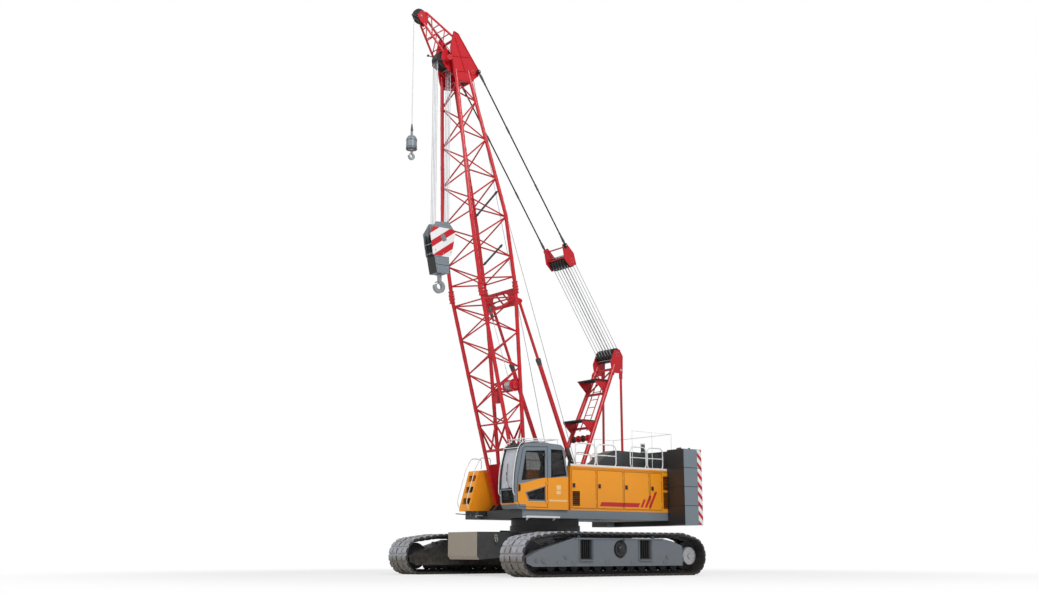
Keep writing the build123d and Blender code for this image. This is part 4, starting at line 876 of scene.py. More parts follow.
frameTrim = {
    "side": 3.6, "windowX": (1.27, -1.11), "windowHalf": 0.2, "low": 0.52, "high": 1.07, "ribs": 5,
    "plateX": (-1.95, -0.6, 0.45, 1.75, 2.3, 2.75), "plateZ": 0.42, "seam": 0.009, "eyeX": (-1.55, 1.45),
    # x, z and ring of the round covers; rear, front and z of the weld seams
    "covers": ((3.15, 0.48, 0.04), (2.88, 0.48, 0.055), (2.06, 0.56, 0.04), (-2.05, 0.56, 0.05)),
    "welds": ((-1.83, 1.68, 1.088), (-2.6, 3.2, 0.308)),
}
face, low, high = frameTrim["side"], frameTrim["low"], frameTrim["high"]
ribParts, trimParts = [], []
for x in frameTrim["windowX"]:
    # dark plate behind the upright ribs of a window, then the window's rim and drain bolt
    ribParts.append(block((x - 0.215, face - 0.085, low), (x + 0.215, face - 0.06, high), 0.005))
    for share in (np.arange(frameTrim["ribs"]) + 0.5) / frameTrim["ribs"]:
        at = x + (2 * share - 1) * frameTrim["windowHalf"]
        ribParts.append(block((at - 0.014, face - 0.06, low), (at + 0.014, face - 0.03, high), 0.005))
    trimParts.append(boltHeads([(x, face + 0.05, 0.47)], 0.03, 0.012))
    trimParts.append(bead(rectangle(x, 0.7925, 0.235, 0.2925), face + 0.002, frameTrim["seam"], 6))
makePiece("windowRibs", [bothSides(*ribParts)], "rubber", "undercarriage")
z = frameTrim["plateZ"]
for x in frameTrim["plateX"]:
    # small access plate with its four bolts
    trimParts.append(slab(rectangle(x, z, 0.09, 0.05), face, face + 0.01, "y", 0.004))
    heads = [(x + i * 0.07, face + 0.01, z + j * 0.033) for i in (-1, 1) for j in (-1, 1)]
    trimParts.append(boltHeads(heads, 0.022, 0.01))
for x, z, ring in frameTrim["covers"]:
    trimParts.append(hexBolts((x, face + 0.018, z), ring, 8, 0.018, 0.01))
for rear, front, z in frameTrim["welds"]:
    trimParts.append(rod((rear, face + 0.001, z), (front, face + 0.001, z), frameTrim["seam"], 6))
for x in frameTrim["eyeX"]:
    trimParts.append(liftingEye(x, (0.08, 1.125), (0.07, 1.165, 0.045), face - 0.14, face - 0.115, 8))
makePiece("frameTrim", [bothSides(*trimParts)], "frameSlate", "undercarriage")

pinUnit = {
    "centre": (-0.09, 0.8), "capY": 3.63, "hoseRadius": 0.016, "hoseShifts": (0.0, 0.05),
    "cap": ((0.1, 0), (0.1, 0.03), (0.08, 0.045), (0.05, 0.045), (0.04, 0.06)),
    # y, ring, count, head, height
    "rings": ((3.565, 0.222, 16, 0.026, 0.014), (3.6, 0.16, 10, 0.03, 0.018), (3.675, 0.068, 6, 0.02, 0.01)),
    # up over the frame
    "hose": ((-0.19, 3.62, 0.96), (-0.23, 3.64, 1.1), (-0.25, 3.56, 1.17), (-0.29, 3.36, 1.175)),
}
unitX, unitZ = pinUnit["centre"]
unitParts = [turned(pinUnit["cap"], (unitX, pinUnit["capY"], unitZ), "y", 20)]
unitParts += [hexBolts((unitX, y, unitZ), *ring) for y, *ring in pinUnit["rings"]]
for shift in pinUnit["hoseShifts"]:
    path = filleted(np.array(pinUnit["hose"]) + (shift, 0, 0), 0.07, 6)
    unitParts.append(pipe(path, pinUnit["hoseRadius"], 8, (1, 0, 0)))
makePiece("pinUnitTrim", [bothSides(*unitParts)], "black", "undercarriage")

idler = {
    "centre": (-3.07, 0.6), "face": 3.52, "screwY": 3.545, "screwX": (-2.86, -2.4), "nutX": (-2.78, -2.64),
    "cover": ((0.27, 0), (0.27, 0.014), (0.25, 0.024), (0.1, 0.02), (0.09, 0.05), (0.06, 0.056)),
}
idlerX, idlerZ = idler["centre"]
idlerParts = [
    turned(idler["cover"], (idlerX, idler["face"], idlerZ), "y", 40),
    hexBolts((idlerX, idler["face"] + 0.022, idlerZ), 0.2, 10, 0.03, 0.016),
    rod(*[(x, idler["screwY"], idlerZ) for x in idler["screwX"]], 0.028, 12),  # tension screw beside the fork
]
nut = [(0.055, 0), (0.055, 0.05)]
idlerParts += [turned(nut, (x, idler["screwY"], idlerZ), "x", 6) for x in idler["nutX"]]
makePiece("idlerCovers", [bothSides(*idlerParts)], "steel", "undercarriage")
print("track frames trimmed")

base = {
    "ringZ": 1.345, "ring": 1.22, "bolts": 60, "flange": ((1.28, 0), (1.28, 0.012), (1.16, 0.012), (1.16, 0)),
    # spread: the gap between hoses at each point
    "hoses": 4, "hoseRadius": 0.02, "spread": (0.08, 0.08, 0.05, 0.05, 0.04),
    "hose": ((0.3, 1.1, 1.38), (0.32, 1.6, 1.39), (0.2, 2.2, 1.2), (0.05, 2.66, 1.17), (0.0, 3.0, 1.17)),
    "clamp": ((0.2, 1.5, 1.33), (0.7, 1.56, 1.425)),
}
baseParts = [
    hexBolts((0, 0, base["ringZ"]), base["ring"], base["bolts"], 0.036, 0.024, "z"),
    turned(base["flange"], (0, 0, base["ringZ"] - 0.008), "z", 96, capped=False),
]
makePiece("ringBolts", baseParts, "charcoal", "undercarriage")
hoseParts = [block(*base["clamp"], 0.01)]
for k in range(base["hoses"]):
    path = np.array(base["hose"])
    path[:, 0] += k * np.array(base["spread"])
    hoseParts.append(pipe(filleted(path, 0.2, 8), base["hoseRadius"], 8, (1, 0, 0)))
makePiece("travelHoses", [bothSides(*hoseParts)], "rubber", "undercarriage")

shackle = {
    "x": (2.6, -2.44), "y": 0.89, "half": 0.055, "radius": 0.018,
    "legTop": 1.19, "legLow": 1.08, "drop": 0.06,
}
shackleParts = []
turn = np.linspace(0, math.pi, 12)
for x in shackle["x"]:
    # half a turn below two straight legs, through the lashing eye
    bowY = shackle["y"] + shackle["half"] * np.cos(turn)
    bowZ = shackle["legLow"] - shackle["drop"] * np.sin(turn)
    bow = np.stack([x + 0 * turn, bowY, bowZ], -1)
    path = [(x, bowY[0], shackle["legTop"]), *bow, (x, bowY[-1], shackle["legTop"])]
    shackleParts.append(pipe(path, shackle["radius"], 8, (1, 0, 0)))
makePiece("lashingShackles", [bothSides(*shackleParts)], "steel", "undercarriage")
print("carbody trimmed")


# superstructure

rails = {
    "y": 1.45, "runs": ((-0.1, -1.9), (-2.48, -4.02)), "low": 3.45, "top": 4.18, "middle": 3.82,
    "radius": 0.02, "corner": 0.16, "foot": ((0.034, 0), (0.034, 0.02), (0.022, 0.03)), "roof": 3.43,
}
railParts = []
y, low, corner = rails["y"], rails["low"], rails["corner"]
for front, rear in rails["runs"]:
    middle, inset = (front + rear) / 2, 0.03 + corner
    for ahead, behind in ((front - inset, middle + inset), (middle - inset, rear + inset)):
        # closed hoop: a quarter turn round each of its four corner centres
        turns = ((behind, low + corner, np.pi), (behind, rails["top"] - corner, np.pi / 2),
                 (ahead, rails["top"] - corner, 0.0), (ahead, low + corner, -np.pi / 2))
        hoop = []
        for x, z, start in turns:
            angle = start + np.linspace(np.pi / 2, 0, 6)
            hoop.append(placed(x + corner * np.cos(angle), z + corner * np.sin(angle), y, "y"))
        railParts.append(pipe(np.concatenate(hoop), rails["radius"], 10, (0, 1, 0), closed=True))
        ends = [(x, y, rails["middle"]) for x in (ahead + corner, behind - corner)]
        railParts.append(rod(*ends, rails["radius"] * 0.8, 8))
        for x in (ahead, behind):
            railParts.append(turned(rails["foot"], (x, y, rails["roof"] - 0.002), "z", 10))
            railParts.append(rod((x, y, rails["roof"]), (x, y, low), 0.018, 8))

step = {
    "x": (0.77, 2.1), "y": (1.562, 1.755), "z": (1.76, 1.79),
    "bracketX": (0.9, 1.95), "studY": (1.6, 1.66, 1.72),
}
(rear, front), (inner, outer) = step["x"], step["y"]
studs = [(x, y, step["z"][1]) for x in np.linspace(0.85, 2.02, 16) for y in step["studY"]]
stepParts = [
    slab([(rear, inner), (front, inner), (front, outer), (rear, outer)], *step["z"], "z", 0.006),
    block((rear, 1.742, 1.75), (front, 1.762, 1.812), 0.006, "x"),
    boltHeads(studs, 0.026, 0.005, "z"),
]
for x in step["bracketX"]:
    stepParts.append(slab([(1.558, 1.762), (1.735, 1.762), (1.56, 1.665)], x - 0.009, x + 0.009, "x", 0.003))
hoops = makePiece("railHoops", [bothSides(*railParts), *stepParts], "white", "superstructure")
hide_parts("handrails")

upper = {"z": 4.71, "x": (-2.56, -4.37), "y": 1.5, "radius": 0.009, "sag": 0.02}
front, rear = upper["x"]
y, z = upper["y"], upper["z"]
thinParts = [pipe([(front, y, z), (rear, y, z - upper["sag"])], upper["radius"], 6)]
thinParts += [rod((x, y, rails["roof"]), (x, y, z), upper["radius"], 6) for x in np.linspace(front, rear, 3)]
thinParts = [bothSides(*thinParts), crossBar((rear + 0.01, z - upper["sag"]), y, upper["radius"], 6)]
makePiece("upperRails", thinParts, "white", "superstructure")
print("rails bent")

house = {
    "rear": -4.36, "fronts": ((1, 0.15), (-1, 1.03)), "top": 3.42, "side": 1.55, "kickHigh": 0.075,
    "treadPitch": 0.062, "boltPitch": 0.29, "runnerY": (1.345, 1.42, 1.495),
}
walkParts, treadParts, rimParts = [], [], []
rear, top = house["rear"], house["top"]
for side, front in house["fronts"]:
    kick = (front, side * 1.53, top + house["kickHigh"])
    walkParts.append(block((rear, side * 1.515, top + 0.009), kick, 0.004, "x"))
    cleat = block((-0.012, side * 1.34, 0), (0.012, side * 1.5, 0.022), 0.005, "y")
    cleatX = np.arange(rear + 0.05, front - 0.02, house["treadPitch"])
    treadParts.append(repeated(cleat, [(x, 0, top + 0.003) for x in cleatX]))
    for y in house["runnerY"]:
        runner = (rear + 0.03, side * y - 0.005, top + 0.002), (front - 0.02, side * y + 0.005, top + 0.014)
        treadParts.append(block(*runner, 0.002, "x"))
    for y, z in ((house["side"] + 0.024, top - 0.016), (house["side"], 2.035)):
        screws = [(x, side * y, z) for x in np.arange(rear + 0.1, front, house["boltPitch"])]
        rimParts.append(boltHeads(screws, 0.02, 0.008, "y", side))
makePiece("walkwayEdge", walkParts, "white", "superstructure")
makePiece("walkwayTread", treadParts, "black", "superstructure")
makePiece("houseScrews", rimParts, "steel", "superstructure")

doors = {
    # side, then front and rear edge of each door
    "left": (1, (0.15, -0.93), (-0.93, -2.1), (-2.1, -3.27), (-3.27, -3.85)),
    "right": (-1, (1.03, -0.6), (-0.6, -2.23), (-2.23, -3.85)),
    "low": 2.1, "high": 3.32, "sealRadius": 0.007, "latchZ": 2.81, "knobZ": 2.84,
    "knob": ((0.026, 0), (0.026, 0.012), (0.018, 0.02)),
}
for sideName in ("left", "right"):
    side, *edges = doors[sideName]
    for number, (front, rear) in enumerate(edges, 1):
        ahead, behind = front - 0.028, rear + 0.034
        rim = [(ahead, doors["low"]), (behind, doors["low"]), (behind, doors["high"]), (ahead, doors["high"])]
        seal = bead(rim, side * 1.551, doors["sealRadius"], 6)
        # turning handle over its latch plate
        x = front - 0.11
        latch = slab(rectangle(x, doors["latchZ"], 0.05, 0.065), side * 1.556, side * 1.585, "y", 0.008)
        knob = turned(doors["knob"], (x, 1.57, doors["knobZ"]), "y", 14)
        body = f"{sideName}_service_door_{number}"
        makePiece(f"{sideName}DoorSeal{number}", [seal], "rubber", body)
        handle = [latch, knob if side > 0 else mirrored(knob)]
        makePiece(f"{sideName}DoorHandle{number}", handle, "black", body)
print("doors sealed")

stack = {
    "x": -3.5, "y": 1.0, "pipeZ": 4.045, "pipe": ((0.085, 0), (0.085, 0.03), (0.07, 0.035)),
    "capZ": 4.338, "cap": ((0.0, 0.0), (0.09, 0.0), (0.09, 0.012), (0.0, 0.012)),
    "boltX": -3.9, "boltPitch": 0.42, "boltY": (1.28, 0.72),
}
capPlace = (stack["x"], stack["y"], stack["capZ"])
flap = slab(rectangle(0, -0.006, 0.09, 0.006), -0.02, 0.02, "y", 0.003)
boltX = stack["boltX"] + stack["boltPitch"] * np.arange(5)
stackParts = [
    turned(stack["pipe"], (stack["x"], stack["y"], stack["pipeZ"]), "z", 24),
    turned(stack["cap"], capPlace, "z", 24),
    moved(flap, np.array(capPlace) + (0, 0, 0.01)),
    boltHeads([(x, y, 3.98) for x in boltX for y in stack["boltY"]], 0.022, 0.01, "z"),
]
makePiece("hoodStack", stackParts, "steel", "superstructure")
print("hood dressed")

weights = {
    "rear": -4.95, "front": -4.06, "half": 2.4, "levels": (1.6, 2.24, 2.87, 3.5, 4.13),
    "stripWidth": 0.2, "gap": 0.012, "eyeX": (-4.72, -4.3), "eyeY": 2.0, "studY": 1.9, "seamRadius": 0.009,
}
stripParts, seamParts = [], []
rear, levels = weights["rear"], weights["levels"]
for low, high in zip(levels, levels[1:]):
    for side in (1, -1):
        # striped plate on the flank and another on the angled cut of the rear corner: outlines from above
        y, end = side * weights["half"], rear + 0.062 + weights["stripWidth"]
        flank = [(rear + 0.062, y), (end, y), (end, y + side * 0.004), (rear + 0.06, y + side * 0.004)]
        cut = [(rear - 0.001, y - side * 0.062), (rear + 0.062, y + side * 0.001),
               (rear + 0.059, y + side * 0.004), (rear - 0.004, y - side * 0.059)]
        for outline in (flank, cut):
            stripParts.append(slab(outline, low + weights["gap"], high - weights["gap"], "z", 0.001))
for level in levels[1:-1]:
    # dark joint line round the front corners and flanks between two slabs
    seam = [(rear + 0.06, weights["half"]), (weights["front"], weights["half"]), (weights["front"], 1.62)]
    seamParts.append(pipe([(x, y, level) for x, y in seam], weights["seamRadius"], 6, (0, 0, 1)))
eyeLow, eyeHigh = weights["eyeY"] - 0.015, weights["eyeY"] + 0.015
weightParts = [liftingEye(x, (0.09, 4.128), (0.06, 4.16, 0.05), eyeLow, eyeHigh, 10) for x in weights["eyeX"]]
studX, studY = weights["eyeX"][1], weights["studY"]
weightParts.append(rod((studX, studY, 4.12), (studX, studY, 4.2), 0.03, 10))
weightParts.append(turned([(0.06, 0), (0.06, 0.04)], (studX, studY, 4.15), "z", 6))
makePiece("slabSeams", [bothSides(*seamParts)], "rubber", "superstructure")
makePiece("hazardStrips", stripParts, "hazard", "superstructure", 20)
makePiece("weightTrim", [bothSides(*weightParts)], "charcoal", "superstructure")
print("counterweight striped")

winding = {
    "pitch": 0.026, "ropeRadius": 0.011, "half": 0.428, "drumZ": 2.74,
    "drums": (("main", -0.6, 0.27), ("auxiliary", -2.05, 0.27), ("luffing", -3.6, 0.22)),  # x, barrel radius
}
turn = np.linspace(0, 2 * np.pi, 48, endpoint=False)
across = np.arange(-winding["half"], winding["half"], winding["pitch"] / 4)[:, None]
for name, x, barrel in winding["drums"]:
    # radius = barrel + rope radius * (0.4 + 1.3 |sin(pi (y + lead) / pitch)|), lead = pitch * share of a turn
    lead = winding["pitch"] * turn / (2 * np.pi)
    ridge = 0.4 + 1.3 * np.abs(np.sin(np.pi * (across + lead) / winding["pitch"]))
    radius = barrel + winding["ropeRadius"] * ridge
    points = placed(x + radius * np.cos(turn), winding["drumZ"] + radius * np.sin(turn), across, "y")
    makePiece(name + "Winding", [gridPart(points)], "rope", name + "_winch_drum", 60)
    drumBolts = hexBolts((x, 0.48, winding["drumZ"]), barrel + 0.08, 12, 0.026, 0.014)
    bearingBolts = hexBolts((x, 0.54, winding["drumZ"]), 0.07, 6, 0.024, 0.012)
    makePiece(name + "DrumBolts", [bothSides(drumBolts)], "steel", name + "_winch_drum")
    makePiece(name + "BearingBolts", [bothSides(bearingBolts)], "steel", "superstructure")
print("ropes wound")


# cab

cab = {
    "inner": 0.812, "outer": 1.62, "seal": 0.011,
    "screen": ((2.44, 2.64), (2.42, 3.05), (2.35, 3.5), (2.244, 3.88)),
    "visor": ((2.252, 3.87), (2.275, 3.875), (2.25, 3.95), (2.055, 4.062), (2.05, 4.04), (2.228, 3.932)),
    "door": ((1.15, 2.075), (2.27, 2.075), (2.34, 2.25), (2.36, 2.65),
             (2.33, 3.0), (2.14, 3.86), (2.06, 3.94), (1.15, 3.98)),
    "doorWindow": ((1.27, 3.01), (2.18, 2.9), (2.0, 3.8), (1.27, 3.85)),
    "lowWindow": ((1.27, 2.31), (1.88, 2.31), (1.98, 2.51), (1.27, 2.71)),
    "sideWindow": ((0.4, 3.1), (1.01, 3.02), (1.01, 3.9), (0.56, 3.9)),
    "pull": ((2.28, 1.65, 2.585), (2.28, 1.685, 2.6), (2.28, 1.685, 2.72), (2.28, 1.65, 2.735)),
    "bevel": ((1.27, 2.235), (1.9, 2.235), (1.925, 2.262), (1.27, 2.262)),
    # blank plates: rear, bottom, front, top, face
    "plates": ((0.36, 2.27, 1.1, 2.325, 1.627), (0.62, 2.5, 0.8, 2.6, 1.624), (0.62, 2.63, 0.8, 2.78, 1.624)),
}
inner, outer, screen = cab["inner"], cab["outer"], np.array(cab["screen"]) + (0.004, 0)
sealParts = [bead(insetOutline(cab["sideWindow"], 0.004), outer + 0.002, cab["seal"])]
for y in (inner + 0.07, outer - 0.07):
    # broad dark edge down each side of the windscreen
    sealParts.append(strip(atSide(screen, y), 0.028, 0.007))
for x, z in (screen[0], screen[-1]):
    sealParts.append(rod((x, inner + 0.07, z), (x, outer - 0.07, z), 0.013, 8))
sealParts.append(slab(cab["visor"], inner + 0.01, outer - 0.01, "y", 0.006))
makePiece("cabSeals", sealParts, "rubber", "superstructure")
doorSeal = [
    bead(insetOutline(cab["door"], 0.012), outer + 0.001, 0.006),
    bead(cab["doorWindow"], outer + 0.002, cab["seal"]),
]
makePiece("cabDoorSeals", doorSeal, "rubber", "cab_door")
windowRim = bead(insetOutline(cab["lowWindow"], -0.02), outer + 0.001, 0.026, 10)
makePiece("lowWindowFrame", [windowRim], "slate", "cab_door")
pullParts = [
    pipe(filleted(cab["pull"], 0.02, 5), 0.012, 10, (1, 0, 0)),
    block((2.245, 1.62, 2.555), (2.315, 1.657, 2.765), 0.008),
]
makePiece("cabDoorPull", pullParts, "black", "cab_door")
creamParts = [block((x0, 1.617, z0), (x1, y, z1), 0.004, "x") for x0, z0, x1, z1, y in cab["plates"]]
makePiece("cabPlates", creamParts, "cream", "superstructure")
makePiece("doorBevel", [slab(cab["bevel"], 1.617, 1.63, "y", 0.005)], "cream", "cab_door")

wiper = {
    "pivot": (2.448, 1.36, 2.665), "boss": ((0.024, 0), (0.024, 0.03), (0.016, 0.036)),
    "bars": (
        ((2.476, 1.36, 2.665), (2.458, 1.2, 3.1), 0.008),
        ((2.452, 1.2, 2.86), (2.402, 1.2, 3.42), 0.009),
        ((2.458, 1.2, 3.1), (2.44, 1.2, 3.14), 0.012),
    ),
}
wiperParts = [turned(wiper["boss"], wiper["pivot"], "x", 14), *[rod(*bar) for bar in wiper["bars"]]]
makePiece("screenWiper", wiperParts, "black", "superstructure")

guard = {
    "y": (0.84, 1.592), "reach": 0.055, "radius": 0.013, "low": ((2.4, 2.42), (2.485, 2.5)),
    "high": ((2.2, 4.03), (2.1, 4.1), (2.06, 4.06)),
}
outline = [*guard["low"], *[(x + guard["reach"], z) for x, z in cab["screen"]], *guard["high"]]
guardParts = [pipe(filleted(atSide(outline, y), 0.05, 5), guard["radius"], 8, (0, 1, 0)) for y in guard["y"]]
guardParts.append(rod(*[(2.245 + guard["reach"], y, 3.9) for y in guard["y"]], guard["radius"]))
makePiece("screenGuard", guardParts, "white", "superstructure")

roof = {
    "hatch": ((0.95, 0.98), (1.62, 1.45)), "z": 4.105, "lampX": 2.06, "lampY": (0.98, 1.45),
    "lamp": ((-0.07, 4.075), (0.03, 4.06), (0.05, 4.075), (0.05, 4.15), (-0.04, 4.155)),
}
(rear, right), (front, left) = roof["hatch"]
z, x = roof["z"], roof["lampX"]
hatchParts = [
    block((rear, right, z - 0.03), (front, left, z + 0.025), 0.03),
    block((rear + 0.1, right + 0.08, z + 0.02), (front - 0.1, left - 0.08, z + 0.04), 0.015),
]
makePiece("roofHatch", hatchParts, "slate", "superstructure")
lampParts, lensParts = [], []
for y in roof["lampY"]:
    lampParts.append(slab(np.array(roof["lamp"]) + (x, 0), y - 0.06, y + 0.06, "y", 0.008))
    lampParts.append(block((x - 0.03, y - 0.02, 4.03), (x, y + 0.02, 4.08), 0.004))
    lensParts.append(block((x + 0.046, y - 0.048, 4.085), (x + 0.058, y + 0.048, 4.142), 0.004, "x"))
makePiece("roofLamps", lampParts, "black", "superstructure")
makePiece("roofLampLenses", lensParts, "lampLens", "superstructure")

seat = {
    # blocks of the base: rear, front, half width, low, high, eased edge
    "y": 1.216, "floor": 2.065, "lean": -0.147,
    "base": ((0.95, 1.25, 0.17, 0, 0.24, 0.03), (0.88, 1.34, 0.22, 0.24, 0.3, 0.02)),
}
seatY, floorLevel = seat["y"], seat["floor"]


def cushion(centre, size, puff, power=4.0, rows=18, columns=36):
    # superellipsoid: point = size * (sign(cos) |cos|^(2/p)) in each direction, with a raised middle
    lat = np.linspace(-np.pi / 2, np.pi / 2, rows)[:, None]
    lon = np.linspace(0, 2 * np.pi, columns, endpoint=False)[None]

    def bent(value):
        return np.sign(value) * np.abs(value) ** (2 / power)

    x = bent(np.cos(lat)) * bent(np.cos(lon))
    y = bent(np.cos(lat)) * bent(np.sin(lon))
    z = bent(np.sin(lat)) + 0 * lon
    z = z + puff * np.where(z > 0, (1 - x * x) * (1 - y * y), 0)
    ball = np.stack([x * size[0] / 2, y * size[1] / 2, z * size[2] / 2], -1)
    return gridPart(ball + np.asarray(centre, float))


baseBlocks = [
    block((rear, seatY - half, floorLevel + low), (front, seatY + half, floorLevel + high), edge)
    for rear, front, half, low, high, edge in seat["base"]
]
backPart = turnedAbout(cushion((0, 0, 0), (0.13, 0.46, 0.74), 0.05), seat["lean"], "y")
seatBase = makePiece("seatBase", baseBlocks, "black", "superstructure")
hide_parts("operator_seat")
lowPart = cushion((1.105, seatY, floorLevel + 0.375), (0.54, 0.48, 0.14), 0.18)
backPart = moved(backPart, (0.805, seatY, floorLevel + 0.675))
for name, part in (("seatCushion", lowPart), ("seatBack", backPart)):
    soft = makePiece(name, [part], "cloth", "superstructure", 60)
    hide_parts("operator_seat")

levers = {
    "x": (1.38, 1.46), "top": 2.685, "across": 0.295, "boot": ((0.03, 0), (0.022, 0.03), (0.008, 0.045)),
    "knob": ((0.008, 0), (0.02, 0.015), (0.022, 0.04), (0.016, 0.065), (0.006, 0.075)),
    # foot, bend and top of the stand, middle of the screen
    "screen": ((2.05, 1.42, 2.06), (2.05, 1.42, 2.4), (2.1, 1.44, 2.78), (2.1, 1.42, 2.84)),
    "pedalY": (0.98, 1.14),
}
controlParts, knobParts = [], []
top = levers["top"]
for y in (seatY + levers["across"], seatY - levers["across"]):
    for x in levers["x"]:
        controlParts.append(turned(levers["boot"], (x, y, top), "z", 12))
        controlParts.append(rod((x, y, top + 0.04), (x + 0.02, y, top + 0.17), 0.007, 8))
        knobParts.append(turned(levers["knob"], (x + 0.02, y, top + 0.165), "z", 14))
    controlParts.append(block((1.0, y - 0.05, top), (1.3, y + 0.05, top + 0.035), 0.02, "x"))
pedal = turnedAbout(block((-0.08, -0.035, -0.008), (0.08, 0.035, 0.008), 0.006), -0.5, "y")
for y in levers["pedalY"]:
    controlParts.append(moved(pedal, (1.88, y, 2.13)))
    controlParts.append(rod((1.9, y, 2.06), (1.9, y, 2.13), 0.01, 8))
foot, bend, stand, middle = levers["screen"]
display = turnedAbout(slab(rectangle(0, 0, 0.11, 0.08), -0.018, 0.018, "x", 0.006), -0.5, "z")
controlParts += [rod(bend, stand, 0.014), moved(display, middle), rod(foot, bend, 0.02)]
makePiece("cabControls", controlParts, "black", "superstructure")
makePiece("leverKnobs", knobParts, "rubber", "superstructure")
print("cab fitted")

access = {
    "railY": (-0.985, -1.515), "radius": 0.014, "treadZ": (2.25, 2.62, 2.99),
    "rail": ((2.37, 2.12), (2.46, 2.3), (2.13, 3.36), (1.9, 3.75), (1.5, 3.75), (1.5, 3.42)),
}
accessParts, treadParts = [], []
for y in access["railY"]:
    accessParts.append(pipe(filleted(atSide(access["rail"], y), 0.09, 6), access["radius"], 8, (0, 1, 0)))
for z in access["treadZ"]:
    nose = 2.33 - (z - 2.18) * 0.35 / 1.15
    places = [(nose - 0.22 + k * 0.045, y, z) for k in range(6) for y in np.arange(-1.43, -1.06, 0.05)]
    treadParts.append(boltHeads(places, 0.022, 0.006, "z"))
makePiece("accessRails", accessParts, "white", "superstructure")
makePiece("accessTreads", treadParts, "charcoal", "superstructure")
frontRod = [
    rod((2.1, -1.2, 1.9), (2.72, -1.2, 1.93), 0.016, 8),
    turned([(0.03, 0), (0.03, 0.05), (0.02, 0.06)], (2.1, -1.2, 1.9), "x", 12),
    rod((2.1, -0.6, 1.84), (2.34, -0.6, 1.84), 0.04, 12),
]
makePiece("frontRod", frontRod, "steel", "superstructure")
print("access steps railed")


# gantry, backstops and luffing gear

mast = {
    "foot": (-0.64, 0.632, 2.45), "top": (-2.74, 0.45, 7.08), "platforms": ((-1.738, 5.06), (-2.39, 6.5)),
    "size": (0.52, 0.52, 0.04), "barPitch": 0.045, "sheave": (-2.88, 7.48), "keeper": 0.25,
    "keeperAngles": (4.0, 4.7, 5.4), "rollerShare": 0.44, "rollerRadius": 0.085, "plateY": 0.47,
    "plate": ((-2.64, 6.82), (-3.08, 6.82), (-3.1, 7.42), (-2.96, 7.64), (-2.76, 7.62), (-2.58, 7.2)),
    # x, y, z, then ring, count, head and height of the bolts
    "pins": ((-0.64, 0.757, 2.45, 0.0, 1, 0.1, 0.03), (-2.88, 0.488, 7.48, 0.075, 6, 0.024, 0.014),
             (-3.02, 0.488, 6.92, 0.0, 1, 0.09, 0.03), (-3.02, 0.55, 2.23, 0.0, 1, 0.07, 0.022)),
    "legCollars": ((0.03, 0.07, 0.1), (0.93, 0.955, 0.098)),  # start and end as shares of the leg, radius
}
mastFoot, mastTop = np.array(mast["foot"]), np.array(mast["top"])


def onMast(share, side):
    return (mastFoot + (mastTop - mastFoot) * share) * (1, side, 1)


def pinHeads(rows, side):  # bolts on the outer faces, one group for each row
    return [hexBolts((x, side * y, z), *ring, "y", side) for x, y, z, *ring in rows]


gratingParts = []
deep, half, high = mast["size"]
for x, z in mast["platforms"]:
    for low, top in (((x, -half), (x + 0.03, half)), ((x + deep - 0.03, -half), (x + deep, half)),
                     ((x, -half), (x + deep, -half + 0.03)), ((x, half - 0.03), (x + deep, half))):
        gratingParts.append(block((*low, z), (*top, z + high), 0.004))
    bar = block((x + 0.02, -0.004, z + 0.004), (x + deep - 0.02, 0.004, z + high - 0.003), 0.002)
    barY = np.arange(-half + 0.05, half - 0.03, mast["barPitch"])
    gratingParts.append(repeated(bar, [(0, y, 0) for y in barY]))
    cross = block((-0.004, -half + 0.02, z + 0.016), (0.004, half - 0.02, z + high - 0.006), 0.002)
    gratingParts.append(repeated(cross, [(x + reach, 0, 0) for reach in np.arange(0.06, deep - 0.03, 0.07)]))
grating = makePiece("gantryGratings", gratingParts, "black", "superstructure")
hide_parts("gantry_platforms")

mastParts, mastRed, rollers = [], [], []
rollX, rollY, rollZ = onMast(mast["rollerShare"], 1)
for side in (1, -1):
    mastParts += pinHeads(mast["pins"], side)
    mastRed.append(sleeve((-3.02, side * 0.47, 6.62), (-3.02, side * 0.47, 6.82), 0.04, 0.062, 20))
    for start, end, radius in mast["legCollars"]:
        mastRed.append(sleeve(onMast(start, side), onMast(end, side), 0.07, radius, 28))
    # rim of the head plate
    mastRed.append(strip(atSide(mast["plate"], side * mast["plateY"]), 0.008, 0.03, True))
for angle in mast["keeperAngles"]:
    mastParts.append(crossBar(about(mast["sheave"], mast["keeper"], angle), 0.455, 0.012))
mastRed.append(rod((rollX, rollY, rollZ), (rollX, -rollY, rollZ), 0.05, 14))  # axle between the legs
for side in (1, -1):
    # a guide roller between two flanges
    for group, low, high, radius in ((mastRed, 0.1, 0.13, 0.12), (mastRed, 0.37, 0.4, 0.12),
                                     (rollers, 0.13, 0.37, mast["rollerRadius"])):
        group.append(sleeve((rollX, side * low, rollZ), (rollX, side * high, rollZ), 0.045, radius))
makePiece("gantryTrim", mastRed, "red", "superstructure")
makePiece("gantryPins", mastParts, "steel", "superstructure")
makePiece("deflectorRollers", rollers, "sheave", "superstructure")
print("gantry gratings laid")

